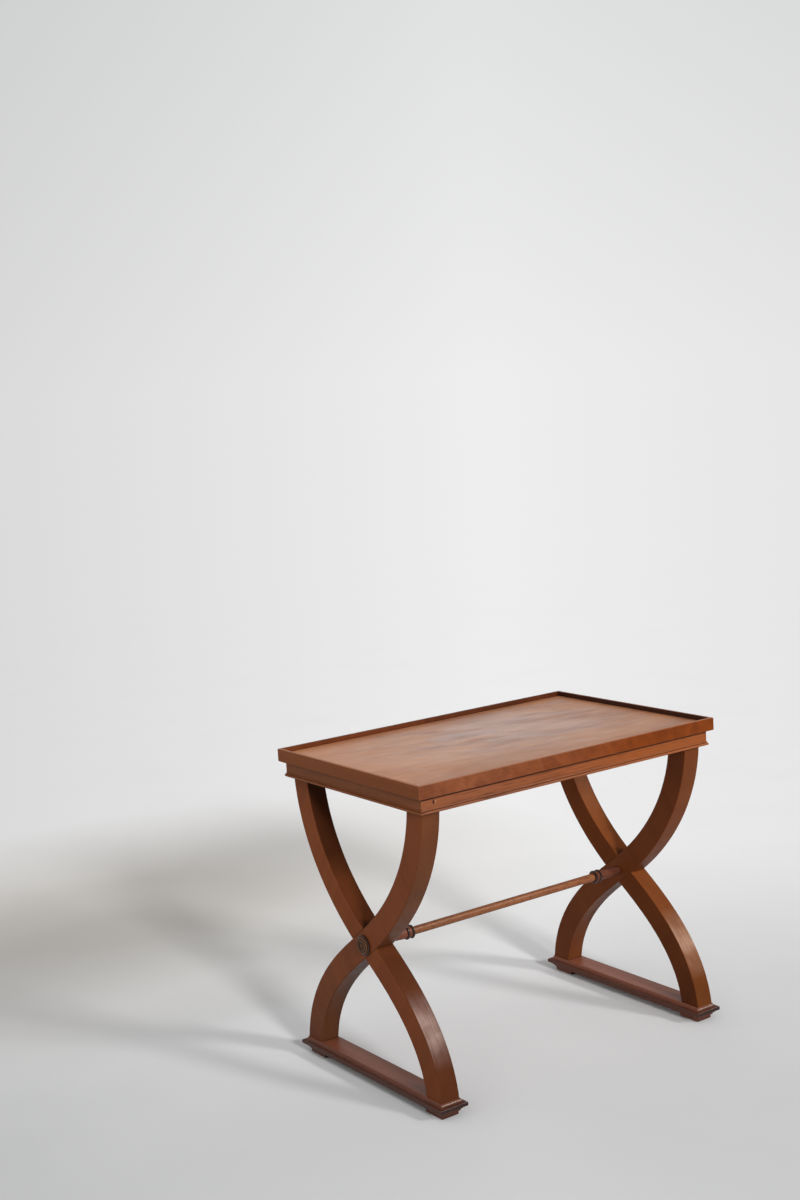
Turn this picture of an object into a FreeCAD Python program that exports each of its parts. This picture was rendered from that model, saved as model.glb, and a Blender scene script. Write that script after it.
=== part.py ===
import FreeCAD, Part
import math
import os
import re
import Sketcher

# Tray table: a lift-off tray on a mitred top frame, carried by two ends of crossed, S-curved legs.
# X runs along the table, Y across it and Z up; the origin is on the floor under the middle of the tray.

# Driving sizes in millimetres, angles in degrees
SIZES = {
    # tray
    "tray_length": 682,
    "tray_width": 432,
    "table_height": 580,
    "tray_edge_height": 23.5,
    "lip_thickness": 6,
    "lip_rise": 9,
    "lip_round": 1,
    # cross battens under the tray
    "batten_width": 24,
    "batten_height": 12,
    "batten_gap": 1,
    "batten_chamfer": 2,
    "batten_screw_spacing": 140,
    # top frame of the stand
    "apron_inset": 10,
    "apron_height": 20,
    "apron_thickness": 15,
    "moulding_cove": 2,
    "moulding_fillet": 0.5,
    "moulding_quirk_height": 1,
    "moulding_quirk_depth": 1.5,
    "moulding_bead": 2.5,
    "bearer_width": 34,
    "bearer_top_gap": 4.5,
    "bearer_screw_spacing": 180,
    "block_side": 28,
    "block_height": 14,
    # crossed legs
    "end_inset": 37,
    "leg_width": 43.6,
    "leg_depth": 37,
    "leg_round": 1.2,
    "crossing_height": 258.5,
    "crossing_angle": 36,
    "head_inset": 10.8,
    "head_lean": 4.6,
    "foot_inset": 9.7,
    "foot_lean": 6.5,
    "tenon_thickness": 12,
    "tenon_width": 26,
    "tenon_length": 15,
    "tenon_gap": 0.15,
    "tenon_end_gap": 0.6,
    # foot rails
    "rail_length": 428,
    "rail_margin": 1.25,
    "rail_cove": 5.5,
    "rail_fillet": 1,
    "rail_nose": 3.75,
    "rail_step_height": 4,
    "rail_step_depth": 3,
    # pads under the rails
    "pad_length": 46,
    "pad_width": 35,
    "pad_height": 8,
    "pad_inset": 13,
    "pad_chamfer": 1.5,
    "pad_screw_spacing": 20,
    # turned stretcher
    "rod_drop": 2.5,
    "rod_radius": 7.5,
    "rod_tenon_radius": 5,
    "rod_tenon_length": 14,
    "socket_neck_radius": 7.25,
    "socket_shoulder_radius": 10,
    "socket_taper_length": 51,
    "socket_bead": 2.5,
    "socket_band_length": 6,
    "spigot_radius": 5.5,
    "spigot_length": 16,
    "spigot_gap": 0.1,
    # rosettes on the crossings
    "rosette_radius": 18.5,
    "rosette_foot_bead": 1.75,
    "rosette_top_bead": 1.5,
    "rosette_top_radius": 15.5,
    "rosette_dish_depth": 1.2,
    "rosette_ring_radius": 9,
    "rosette_ring_bead": 1.6,
    "rosette_button_radius": 4,
    "rosette_button_height": 2,
    # screws
    "screw_radius": 2,
    "screw_head_radius": 4,
    "screw_head_height": 2.5,
    "screw_bite": 9,
    "screw_gap": 0.1,
    # how far a cut runs past the wood
    "overrun": 5,
}

# Heights and places that several pieces share
TRAY_BASE = "(table_height - tray_edge_height)"
APRON_BASE = f"({TRAY_BASE} - apron_height)"
MOULDING_HEIGHT = "(moulding_cove + moulding_fillet + moulding_quirk_height + 2 * moulding_bead)"
BEAD_STANDOFF = "(moulding_cove - moulding_quirk_depth)"
MOULDING_REACH = f"({BEAD_STANDOFF} + moulding_bead)"
LEG_TOP = f"({APRON_BASE} - {MOULDING_HEIGHT})"
BEARER_HEIGHT = f"({TRAY_BASE} - bearer_top_gap - {LEG_TOP})"
BEARER_OUTER = "(tray_length / 2 - apron_inset - apron_thickness)"
BEARER_INNER = f"({BEARER_OUTER} - bearer_width)"
BEARER_HALF_LENGTH = "(tray_width / 2 - apron_inset - apron_thickness)"
BEARER_SCREW_HEIGHT = f"(({APRON_BASE} + {LEG_TOP} + {BEARER_HEIGHT}) / 2)"
BATTEN_X = f"({BEARER_INNER} - batten_gap - batten_width / 2)"
BATTEN_SCREWS = ("-batten_screw_spacing", "0", "batten_screw_spacing")
PANEL_THICKNESS = "(tray_edge_height - lip_rise)"
RAIL_HALF_WIDTH = "(leg_depth / 2 + rail_margin + rail_cove + rail_nose)"
RAIL_HEIGHT = "(rail_cove + rail_fillet + 2 * rail_nose + 2 * rail_step_height)"
RAIL_TOP = f"(pad_height + {RAIL_HEIGHT})"
PAD_Y = "(rail_length / 2 - pad_inset - pad_length / 2)"
PAD_SCREWS = ("-pad_screw_spacing / 2", "pad_screw_spacing / 2")
HEAD_Y = "(tray_width / 2 - apron_inset - head_inset - leg_width / 2)"
FOOT_Y = "(rail_length / 2 - foot_inset - leg_width / 2)"
END_X = "(tray_length / 2 - end_inset)"
LEG_OUTER_X = f"({END_X} + leg_depth / 2)"
LEG_INNER_X = f"({END_X} - leg_depth / 2)"
ROD_HEIGHT = "(crossing_height - rod_drop)"
SOCKET_LENGTH = "(socket_taper_length + 4 * socket_bead + socket_band_length)"
HALF_ROD = f"({LEG_INNER_X} - {SOCKET_LENGTH})"

# The sides of the tray and its frame, each a quarter turn on from the last: the sizes along and across it
SIDES = {
    "front": ("tray_length", "tray_width"),
    "right": ("tray_width", "tray_length"),
    "back": ("tray_length", "tray_width"),
    "left": ("tray_width", "tray_length"),
}
# Each end of the table and the sign of its X, each long side and the sign of its Y
ENDS = {"left": -1, "right": 1}
LONG_SIDES = {"front": -1, "back": 1}

QUARTER_TURN = math.pi / 2
HALF_TURN = math.pi
Z_AXIS = FreeCAD.Vector(0, 0, 1)
SAME_HEIGHT = 1e-6
COUNTER = 1
CLOCKWISE = -1

doc = FreeCAD.newDocument("tray_table")
sheet = doc.addObject("Spreadsheet::Sheet", "Sizes")
for row, (alias, value) in enumerate(SIZES.items(), 1):
    sheet.set(f"A{row}", str(value))
    sheet.setAlias(f"A{row}", alias)
doc.recompute()

sub_parts = []


def expression(text):
    """The text with each size's name pointing at its cell."""
    return re.sub(r"[a-z_]+", lambda word: f"Sizes.{word[0]}" if word[0] in SIZES else word[0], text)


def number(text):
    """The present value of an expression in sizes."""
    return float(sheet.evalExpression(expression(text)))


def bind(item, path, text):
    item.setExpression(path, expression(text))


def new_body(label, x="0", y="0", z="0", turn=0):
    """An empty body, turned about Z and placed at expressions in sizes."""
    body = doc.addObject("PartDesign::Body", label)
    body.Label = label
    place = FreeCAD.Vector(number(x), number(y), number(z))
    body.Placement = FreeCAD.Placement(place, FreeCAD.Rotation(Z_AXIS, math.degrees(turn)))
    for axis, text in (("x", x), ("y", y), ("z", z)):
        bind(body, f"Placement.Base.{axis}", text)
    sub_parts.append(body)
    return body


def sketch_on(body, name, role, offset="0"):
    """A sketch on one of the body's own planes, moved along the plane's normal."""
    sketch = body.newObject("Sketcher::SketchObject", f"{body.Name}_{name}")
    plane = next(item for item in body.Origin.OriginFeatures if item.Role == role)
    sketch.AttachmentSupport = (plane, [""])
    sketch.MapMode = "FlatFace"
    sketch.AttachmentOffset = FreeCAD.Placement(FreeCAD.Vector(0, 0, number(offset)), FreeCAD.Rotation())
    bind(sketch, "AttachmentOffset.Base.z", offset)
    return sketch


def constrain(sketch, kind, *places, size=None):
    """One constraint; a dimension takes its value from an expression in sizes."""
    if size is None:
        return sketch.addConstraint(Sketcher.Constraint(kind, *places))
    index = sketch.addConstraint(Sketcher.Constraint(kind, *places, number(size)))
    bind(sketch, f"Constraints[{index}]", size)
    return index


def pin(sketch, geometry, end, x=None, y=None):
    """Fixes a point of the sketch by its distances from the sketch's origin."""
    if x is not None:
        constrain(sketch, "DistanceX", -1, 1, geometry, end, size=x)
    if y is not None:
        constrain(sketch, "DistanceY", -1, 1, geometry, end, size=y)


def circle_arc(centre, radius, start, end):
    """An arc that runs counter-clockwise from one angle to another."""
    return Part.ArcOfCircle(Part.Circle(centre, Z_AXIS, radius), start, end)


def loop(sketch, corners):
    """A closed outline. A corner is (x, y), or (x, y, centre_x, centre_y, turn) where an arc leaves it."""
    points = [FreeCAD.Vector(number(corner[0]), number(corner[1]), 0) for corner in corners]
    ends = []
    for index, corner in enumerate(corners):
        start = points[index]
        end = points[(index + 1) % len(points)]
        if len(corner) == 2:
            ends.append((sketch.addGeometry(Part.LineSegment(start, end)), 1, 2))
            continue
        centre = FreeCAD.Vector(number(corner[2]), number(corner[3]), 0)
        if corner[4] == CLOCKWISE:
            start, end = end, start
        angles = [math.atan2(point.y - centre.y, point.x - centre.x) for point in (start, end)]
        while angles[1] <= angles[0]:
            angles[1] += 2 * HALF_TURN
        arc = sketch.addGeometry(circle_arc(centre, centre.distanceToPoint(start), *angles))
        ends.append((arc, 2, 1) if corner[4] == CLOCKWISE else (arc, 1, 2))
        chord = end - start
        if abs(chord.x) > abs(chord.y):
            pin(sketch, arc, 3, y=corner[3])
        else:
            pin(sketch, arc, 3, x=corner[2])
    for index, (geometry, start, end) in enumerate(ends):
        following, following_start, unused = ends[(index + 1) % len(ends)]
        constrain(sketch, "Coincident", geometry, end, following, following_start)
        pin(sketch, geometry, start, corners[index][0], corners[index][1])


def rectangle(sketch, half_x, half_y, x="0", y="0"):
    """A rectangle about (x, y)."""
    loop(sketch, [
        (f"{x} - {half_x}", f"{y} - {half_y}"),
        (f"{x} + {half_x}", f"{y} - {half_y}"),
        (f"{x} + {half_x}", f"{y} + {half_y}"),
        (f"{x} - {half_x}", f"{y} + {half_y}"),
    ])


def circle(sketch, x, y, radius):
    centre = FreeCAD.Vector(number(x), number(y), 0)
    geometry = sketch.addGeometry(Part.Circle(centre, Z_AXIS, number(radius)))
    pin(sketch, geometry, 3, x, y)
    constrain(sketch, "Radius", geometry, size=radius)


def pad(body, sketch, length, symmetric=False, downward=False):
    """Wood added on a sketch."""
    feature = body.newObject("PartDesign::Pad", f"{sketch.Name}_pad")
    feature.Profile = sketch
    feature.SideType = "Symmetric" if symmetric else "One side"
    feature.Reversed = downward
    bind(feature, "Length", length)
    doc.recompute()
    return feature


def pocket(body, sketch, depth=None, symmetric=False, along_normal=False):
    """Wood cut away on a sketch, right through where no depth is given."""
    before = body.Tip.Shape.Volume
    feature = body.newObject("PartDesign::Pocket", f"{sketch.Name}_pocket")
    feature.Profile = sketch
    feature.SideType = "Symmetric" if symmetric else "One side"
    feature.Reversed = along_normal
    if depth is None:
        feature.Type = "ThroughAll"
    else:
        bind(feature, "Length", depth)
    doc.recompute()
    if not feature.Shape.Volume < before:
        raise RuntimeError(f"{feature.Name} cuts nothing")
    return feature


def revolve(body, sketch):
    """A piece turned about the sketch's horizontal axis."""
    feature = body.newObject("PartDesign::Revolution", f"{sketch.Name}_turned")
    feature.Profile = sketch
    feature.ReferenceAxis = (sketch, ["H_Axis"])
    feature.Angle = math.degrees(2 * HALF_TURN)
    doc.recompute()
    return feature


def ease(body, kind, size, chosen):
    """Rounds ("Fillet") or chamfers ("Chamfer") the edges of the body that the test picks."""
    base = body.Tip
    names = [f"Edge{index}" for index, edge in enumerate(base.Shape.Edges, 1) if chosen(edge)]
    feature = body.newObject(f"PartDesign::{kind}", f"{body.Name}_{kind.lower()}")
    feature.Base = (base, names)
    bind(feature, "Radius" if kind == "Fillet" else "Size", size)
    doc.recompute()
    return feature


def level(edge, height):
    """True where the whole edge lies at one height."""
    box = edge.BoundBox
    return max(abs(box.ZMin - height), abs(box.ZMax - height)) < SAME_HEIGHT


def holes(body, name, role, offset, places, radius, depth=None, along_normal=False):
    """Round holes from one plane, right through where no depth is given."""
    sketch = sketch_on(body, name, role, offset)
    for x, y in places:
        circle(sketch, x, y, radius)
    pocket(body, sketch, depth, along_normal=along_normal)


def mitred_plan(body, along, across, inset, thickness):
    """The plan of one mitred strip: its outer face is inset from the tray's edge on the side of -Y."""
    sketch = sketch_on(body, "plan", "XY_Plane")
    outer = f"({across} / 2 - {inset})"
    half = f"({along} / 2 - {inset})"
    loop(sketch, [
        (f"-{half}", f"-{outer}"),
        (half, f"-{outer}"),
        (f"{half} - {thickness}", f"{thickness} - {outer}"),
        (f"{thickness} - {half}", f"{thickness} - {outer}"),
    ])
    return sketch


def tray_panel():
    body = new_body("tray_panel", z=TRAY_BASE)
    plan = sketch_on(body, "plan", "XY_Plane")
    rectangle(plan, "(tray_length / 2 - lip_thickness)", "(tray_width / 2 - lip_thickness)")
    pad(body, plan, PANEL_THICKNESS)
    places = [(f"{sign} * {BATTEN_X}", y) for sign in ENDS.values() for y in BATTEN_SCREWS]
    holes(body, "pilots", "XY_Plane", "0", places, "screw_radius + screw_gap", "screw_bite + screw_gap", True)


def tray_lip(side, along, across, turn):
    body = new_body(f"tray_lip_{side}", z=TRAY_BASE, turn=turn)
    pad(body, mitred_plan(body, along, across, "0", "lip_thickness"), "tray_edge_height")
    top = number("tray_edge_height")
    ease(body, "Fillet", "lip_round", lambda edge: level(edge, top) and edge.BoundBox.YLength == 0)


def tray_batten(end, sign):
    body = new_body(f"tray_batten_{end}", x=f"{sign} * {BATTEN_X}", z=f"{TRAY_BASE} - batten_height")
    plan = sketch_on(body, "plan", "XY_Plane")
    rectangle(plan, "batten_width / 2", f"({BEARER_HALF_LENGTH} - batten_gap)")
    pad(body, plan, "batten_height")
    ease(body, "Chamfer", "batten_chamfer", lambda edge: level(edge, 0))
    places = [("0", y) for y in BATTEN_SCREWS]
    holes(body, "shanks", "XY_Plane", "0", places, "screw_radius + screw_gap", along_normal=True)
    holes(body, "heads", "XY_Plane", "0", places, "screw_head_radius + screw_gap",
          "screw_head_height + screw_gap", True)


def apron(side, along, across, turn):
    body = new_body(f"apron_{side}", z=APRON_BASE, turn=turn)
    pad(body, mitred_plan(body, along, across, "apron_inset", "apron_thickness"), "apron_height")
    if side in ENDS:
        places = [(f"{sign} * bearer_screw_spacing / 2", f"{BEARER_SCREW_HEIGHT} - {APRON_BASE}")
                  for sign in ENDS.values()]
        holes(body, "pilots", "XZ_Plane", BEARER_OUTER, places, "screw_radius + screw_gap",
              "screw_bite + screw_gap", True)


def apron_moulding(side, along, across, turn):
    """A strip under one apron board: a cove from the board's face, a fillet, a quirk and a bead."""
    body = new_body(f"apron_moulding_{side}", z=LEG_TOP, turn=turn)
    plan = mitred_plan(body, along, across, f"(apron_inset - {MOULDING_REACH})",
                       f"(apron_thickness + {MOULDING_REACH})")
    pad(body, plan, MOULDING_HEIGHT)
    face = f"-({across} / 2 - apron_inset)"
    out = f"-({across} / 2 + overrun)"
    fillet_face = f"{face} - moulding_cove"
    bead_face = f"{face} - {BEAD_STANDOFF}"
    cove_base = f"{MOULDING_HEIGHT} - moulding_cove"
    quirk_top = f"{cove_base} - moulding_fillet"
    section = sketch_on(body, "section", "YZ_Plane")
    loop(section, [
        (face, MOULDING_HEIGHT, fillet_face, MOULDING_HEIGHT, CLOCKWISE),
        (fillet_face, cove_base),
        (fillet_face, quirk_top),
        (bead_face, quirk_top),
        (bead_face, "2 * moulding_bead", bead_face, "moulding_bead", COUNTER),
        (bead_face, "0"),
        (bead_face, "-overrun"),
        (out, "-overrun"),
        (out, f"{MOULDING_HEIGHT} + overrun"),
        (face, f"{MOULDING_HEIGHT} + overrun"),
    ])
    pocket(body, section, symmetric=True)


def bearer(end, sign):
    body = new_body(f"bearer_{end}", x=f"{sign} * ({BEARER_OUTER} + {BEARER_INNER}) / 2", z=LEG_TOP)
    plan = sketch_on(body, "plan", "XY_Plane")
    rectangle(plan, "bearer_width / 2", BEARER_HALF_LENGTH)
    pad(body, plan, BEARER_HEIGHT)
    mortises = sketch_on(body, "mortises", "XY_Plane")
    for side in LONG_SIDES.values():
        rectangle(mortises, "(tenon_thickness / 2 + tenon_gap)", "(tenon_width / 2 + tenon_gap)",
                  f"{sign} * ({END_X} - ({BEARER_OUTER} + {BEARER_INNER}) / 2)", f"{side} * {HEAD_Y}")
    pocket(body, mortises, "tenon_length + tenon_end_gap", along_normal=True)
    height = f"{BEARER_SCREW_HEIGHT} - {LEG_TOP}"
    places = [(f"{side} * bearer_screw_spacing / 2", height) for side in LONG_SIDES.values()]
    inner_face = f"{-sign} * bearer_width / 2"
    outward = sign > 0
    holes(body, "shanks", "YZ_Plane", inner_face, places, "screw_radius + screw_gap", along_normal=outward)
    holes(body, "heads", "YZ_Plane", inner_face, places, "screw_head_radius + screw_gap",
          "screw_head_height + screw_gap", outward)


def glue_block(end, end_sign, side, side_sign):
    """A triangular block in the corner between a bearer and a long apron board."""
    body = new_body(f"glue_block_{side}_{end}", x=f"{end_sign} * {BEARER_INNER}",
                    y=f"{side_sign} * {BEARER_HALF_LENGTH}", z=LEG_TOP)
    plan = sketch_on(body, "plan", "XY_Plane")
    loop(plan, [
        ("0", "0"),
        (f"{-end_sign} * block_side", "0"),
        ("0", f"{-side_sign} * block_side"),
    ])
    pad(body, plan, "block_height")


def sweep_radius(run, rise, lean):
    """Radius of the arc that carries the crossing's slope round to the leg end's lean."""
    slope = "crossing_angle * 1deg"
    turned = f"(1 - cos(90deg - {lean} * 1deg - {slope}))"
    return f"(({rise} * cos({slope}) - {run} * sin({slope})) / {turned})"


HEAD_SWEEP = sweep_radius(HEAD_Y, f"({LEG_TOP} - crossing_height)", "head_lean")
FOOT_SWEEP = sweep_radius(FOOT_Y, f"(crossing_height - {RAIL_TOP})", "foot_lean")


def leg_outline(body, name, side):
    """The S of one leg, its head towards +Y for side 1 and towards -Y for side -1.

    Each edge is an arc to the foot, a straight run through the crossing and an arc to the head.
    """
    sketch = sketch_on(body, name, "YZ_Plane")
    slope = math.radians(number("crossing_angle"))
    head_centre = (f"{side} * ({HEAD_Y} - {HEAD_SWEEP} * cos(head_lean * 1deg))",
                   f"{LEG_TOP} + {HEAD_SWEEP} * sin(head_lean * 1deg)")
    foot_centre = (f"{-side} * ({FOOT_Y} - {FOOT_SWEEP} * cos(foot_lean * 1deg))",
                   f"{RAIL_TOP} - {FOOT_SWEEP} * sin(foot_lean * 1deg)")
    tangent_end, outer_end = (1, 2) if side > 0 else (2, 1)

    def arc(centre_text, radius_text, tangent_angle, end_text, foot):
        centre = FreeCAD.Vector(number(centre_text[0]), number(centre_text[1]), 0)
        radius = number(radius_text)
        lift = math.asin((number(end_text) - centre.y) / radius)
        angles = [tangent_angle, HALF_TURN - lift if foot else lift]
        if side < 0:
            angles = [HALF_TURN - angle for angle in reversed(angles)]
        geometry = circle_arc(centre, radius, *angles)
        index = sketch.addGeometry(geometry)
        points = [geometry.StartPoint, geometry.EndPoint]
        return index, points[tangent_end - 1], points[outer_end - 1]

    def edge(foot_radius, head_radius):
        foot = arc(foot_centre, foot_radius, slope + QUARTER_TURN, RAIL_TOP, True)
        head = arc(head_centre, head_radius, slope - QUARTER_TURN, LEG_TOP, False)
        straight = sketch.addGeometry(Part.LineSegment(foot[1], head[1]))
        constrain(sketch, "Tangent", foot[0], tangent_end, straight, 1)
        constrain(sketch, "Tangent", straight, 2, head[0], tangent_end)
        constrain(sketch, "Radius", foot[0], size=foot_radius)
        constrain(sketch, "Radius", head[0], size=head_radius)
        return foot, head

    upper_foot, upper_head = edge(f"{FOOT_SWEEP} + leg_width / 2", f"{HEAD_SWEEP} - leg_width / 2")
    lower_foot, lower_head = edge(f"{FOOT_SWEEP} - leg_width / 2", f"{HEAD_SWEEP} + leg_width / 2")
    for first, second, height, centre in (
        (upper_head, lower_head, LEG_TOP, head_centre),
        (upper_foot, lower_foot, RAIL_TOP, foot_centre),
    ):
        end_line = sketch.addGeometry(Part.LineSegment(first[2], second[2]))
        constrain(sketch, "Coincident", end_line, 1, first[0], outer_end)
        constrain(sketch, "Coincident", end_line, 2, second[0], outer_end)
        constrain(sketch, "Horizontal", end_line)
        pin(sketch, end_line, 1, y=height)
        constrain(sketch, "Coincident", first[0], 3, second[0], 3)
        pin(sketch, first[0], 3, *centre)
    return sketch


def leg(end, foot_side, end_sign, turn):
    """One leg: its S, rounded long edges, the halving at the crossing, both tenons and the bore."""
    body = new_body(f"leg_{end}_{foot_side}_foot", x=f"{end_sign} * {END_X}", turn=turn)
    pad(body, leg_outline(body, "outline", -1), "leg_depth", symmetric=True)
    top = number(LEG_TOP)
    foot = number(RAIL_TOP)

    def long_edge(item):
        return item.BoundBox.XLength < number("leg_round") and not level(item, top) and not level(item, foot)

    ease(body, "Fillet", "leg_round", long_edge)
    pocket(body, leg_outline(body, "halving", 1), along_normal=True)
    for name, height, y, downward in (
        ("head_tenon", LEG_TOP, f"-{HEAD_Y}", False),
        ("foot_tenon", RAIL_TOP, FOOT_Y, True),
    ):
        tenon = sketch_on(body, name, "XY_Plane", height)
        rectangle(tenon, "tenon_thickness / 2", "tenon_width / 2", "0", y)
        pad(body, tenon, "tenon_length", downward=downward)
    bore = sketch_on(body, "bore", "YZ_Plane")
    circle(bore, "0", ROD_HEIGHT, "spigot_radius + spigot_gap")
    pocket(body, bore, symmetric=True)


def rail_edge(sketch, sign, half):
    """What is cut away beside the rail's moulded edge: cove, fillet, nose and two steps going in."""
    nose_line = f"{sign} * ({half} - rail_nose)"
    top_edge = f"{sign} * ({half} - rail_nose - rail_cove)"
    first_step = f"{sign} * ({half} - rail_nose - rail_step_depth)"
    second_step = f"{sign} * ({half} - rail_nose - 2 * rail_step_depth)"
    out = f"{sign} * ({half} + overrun)"
    nose_base = "(2 * rail_step_height)"
    loop(sketch, [
        (top_edge, RAIL_HEIGHT, nose_line, RAIL_HEIGHT, sign * COUNTER),
        (nose_line, f"{RAIL_HEIGHT} - rail_cove"),
        (nose_line, f"{nose_base} + 2 * rail_nose", nose_line, f"{nose_base} + rail_nose", sign * CLOCKWISE),
        (nose_line, nose_base),
        (first_step, nose_base),
        (first_step, "rail_step_height"),
        (second_step, "rail_step_height"),
        (second_step, "-overrun"),
        (out, "-overrun"),
        (out, f"{RAIL_HEIGHT} + overrun"),
        (top_edge, f"{RAIL_HEIGHT} + overrun"),
    ])


def foot_rail(end, sign):
    body = new_body(f"foot_rail_{end}", x=f"{sign} * {END_X}", z="pad_height")
    plan = sketch_on(body, "plan", "XY_Plane")
    rectangle(plan, RAIL_HALF_WIDTH, "rail_length / 2")
    pad(body, plan, RAIL_HEIGHT)
    for name, role, half in (("sides", "XZ_Plane", RAIL_HALF_WIDTH), ("ends", "YZ_Plane", "rail_length / 2")):
        section = sketch_on(body, name, role)
        for side in LONG_SIDES.values():
            rail_edge(section, side, half)
        pocket(body, section, symmetric=True)
    mortises = sketch_on(body, "mortises", "XY_Plane", RAIL_HEIGHT)
    for side in LONG_SIDES.values():
        rectangle(mortises, "(tenon_thickness / 2 + tenon_gap)", "(tenon_width / 2 + tenon_gap)",
                  "0", f"{side} * {FOOT_Y}")
    pocket(body, mortises, "tenon_length + tenon_end_gap")
    holes(body, "pilots", "XY_Plane", "0", [(x, f"{side} * {PAD_Y}") for side in LONG_SIDES.values()
                                            for x in PAD_SCREWS],
          "screw_radius + screw_gap", "screw_bite + screw_gap", True)


def foot_pad(end, end_sign, side, side_sign):
    body = new_body(f"foot_pad_{end}_{side}", x=f"{end_sign} * {END_X}", y=f"{side_sign} * {PAD_Y}")
    plan = sketch_on(body, "plan", "XY_Plane")
    rectangle(plan, "pad_width / 2", "pad_length / 2")
    pad(body, plan, "pad_height")
    ease(body, "Chamfer", "pad_chamfer", lambda edge: level(edge, 0))
    places = [(x, "0") for x in PAD_SCREWS]
    holes(body, "shanks", "XY_Plane", "0", places, "screw_radius + screw_gap", along_normal=True)
    holes(body, "heads", "XY_Plane", "0", places, "screw_head_radius + screw_gap",
          "screw_head_height + 2 * screw_gap", True)


def stretcher_rod():
    """The plain rod, turned down at both ends for the sockets."""
    body = new_body("stretcher_rod", z=ROD_HEIGHT)
    profile = sketch_on(body, "profile", "XY_Plane")
    tip = f"({HALF_ROD} + rod_tenon_length)"
    loop(profile, [
        (f"-{tip}", "0"),
        (tip, "0"),
        (tip, "rod_tenon_radius"),
        (HALF_ROD, "rod_tenon_radius"),
        (HALF_ROD, "rod_radius"),
        (f"-{HALF_ROD}", "rod_radius"),
        (f"-{HALF_ROD}", "rod_tenon_radius"),
        (f"-{tip}", "rod_tenon_radius"),
    ])
    revolve(body, profile)


def stretcher_socket(end, sign):
    """A turned end: spigot for the crossing, taper, two beads with a band between, blind bore for the rod."""
    body = new_body(f"stretcher_socket_{end}", x=f"{sign} * {LEG_INNER_X}", z=ROD_HEIGHT,
                    turn=0 if sign < 0 else HALF_TURN)
    first_bead = "socket_taper_length"
    band = f"({first_bead} + 2 * socket_bead)"
    second_bead = f"({band} + socket_band_length)"
    mouth = SOCKET_LENGTH
    bore = "(rod_tenon_radius + spigot_gap)"
    bore_base = f"({mouth} - rod_tenon_length - tenon_end_gap)"
    shoulder = "socket_shoulder_radius"
    profile = sketch_on(body, "profile", "XY_Plane")
    loop(profile, [
        ("-spigot_length", "0"),
        (bore_base, "0"),
        (bore_base, bore),
        (mouth, bore),
        (mouth, shoulder, f"{second_bead} + socket_bead", shoulder, COUNTER),
        (second_bead, shoulder),
        (band, shoulder, f"{first_bead} + socket_bead", shoulder, COUNTER),
        (first_bead, shoulder),
        ("0", "socket_neck_radius"),
        ("0", "spigot_radius"),
        ("-spigot_length", "spigot_radius"),
    ])
    revolve(body, profile)


def rosette(end, sign):
    """A turned boss: two beads up its side, a dished face with a raised ring and a domed button."""
    body = new_body(f"rosette_{end}", x=f"{sign} * {LEG_OUTER_X}", z=ROD_HEIGHT,
                    turn=HALF_TURN if sign < 0 else 0)
    foot_line = "(rosette_radius - rosette_foot_bead)"
    top_line = "(rosette_top_radius - rosette_top_bead)"
    step = "(2 * rosette_foot_bead)"
    face = f"({step} + 2 * rosette_top_bead)"
    dish = f"({face} - rosette_dish_depth)"
    ring_outer = "(rosette_ring_radius + rosette_ring_bead)"
    ring_inner = "(rosette_ring_radius - rosette_ring_bead)"
    tip = f"({dish} + rosette_button_height)"
    dome = "((rosette_button_radius * rosette_button_radius + rosette_button_height * rosette_button_height)" \
           " / (2 * rosette_button_height))"
    profile = sketch_on(body, "profile", "XY_Plane")
    loop(profile, [
        ("-spigot_length", "0"),
        (tip, "0", f"{tip} - {dome}", "0", COUNTER),
        (dish, "rosette_button_radius"),
        (dish, ring_inner, dish, "rosette_ring_radius", CLOCKWISE),
        (dish, ring_outer),
        (face, top_line, f"{step} + rosette_top_bead", top_line, COUNTER),
        (step, top_line),
        (step, foot_line, "rosette_foot_bead", foot_line, COUNTER),
        ("0", foot_line),
        ("0", "spigot_radius"),
        ("-spigot_length", "spigot_radius"),
    ])
    revolve(body, profile)


def screw(length, place, direction):
    """One screw, its head's outer face at a place and its shank along a direction."""
    head = Part.makeCylinder(number("screw_head_radius"), number("screw_head_height"), place, direction)
    shank = Part.makeCylinder(number("screw_radius"), number(length), place, direction)
    return head.fuse(shank).removeSplitter()


def screw_group(label, length, places, direction):
    """Like screws in one node, each at a place given in sizes."""
    node = doc.addObject("Part::Feature", label)
    node.Label = label
    solids = []
    for place in places:
        x, y, z = (number(text) for text in place)
        solids.extend(screw(length, FreeCAD.Vector(x, y, z), direction(x)).Solids)
    node.Shape = Part.makeCompound(solids)
    node.Placement = FreeCAD.Placement()
    sub_parts.append(node)


def screws():
    upward = Z_AXIS
    sideways = FreeCAD.Vector(1, 0, 0)
    screw_group(
        "tray_batten_screws", "batten_height + screw_bite",
        [(f"{sign} * {BATTEN_X}", y, f"{TRAY_BASE} - batten_height")
         for sign in ENDS.values() for y in BATTEN_SCREWS],
        lambda x: upward,
    )
    screw_group(
        "bearer_screws", "bearer_width + screw_bite",
        [(f"{sign} * {BEARER_INNER}", f"{side} * bearer_screw_spacing / 2", BEARER_SCREW_HEIGHT)
         for sign in ENDS.values() for side in LONG_SIDES.values()],
        lambda x: sideways * math.copysign(1, x),
    )
    screw_group(
        "foot_pad_screws", "pad_height + screw_bite - screw_gap",
        [(f"{sign} * {END_X} + {x}", f"{side} * {PAD_Y}", "screw_gap")
         for sign in ENDS.values() for side in LONG_SIDES.values() for x in PAD_SCREWS],
        lambda x: upward,
    )


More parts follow.
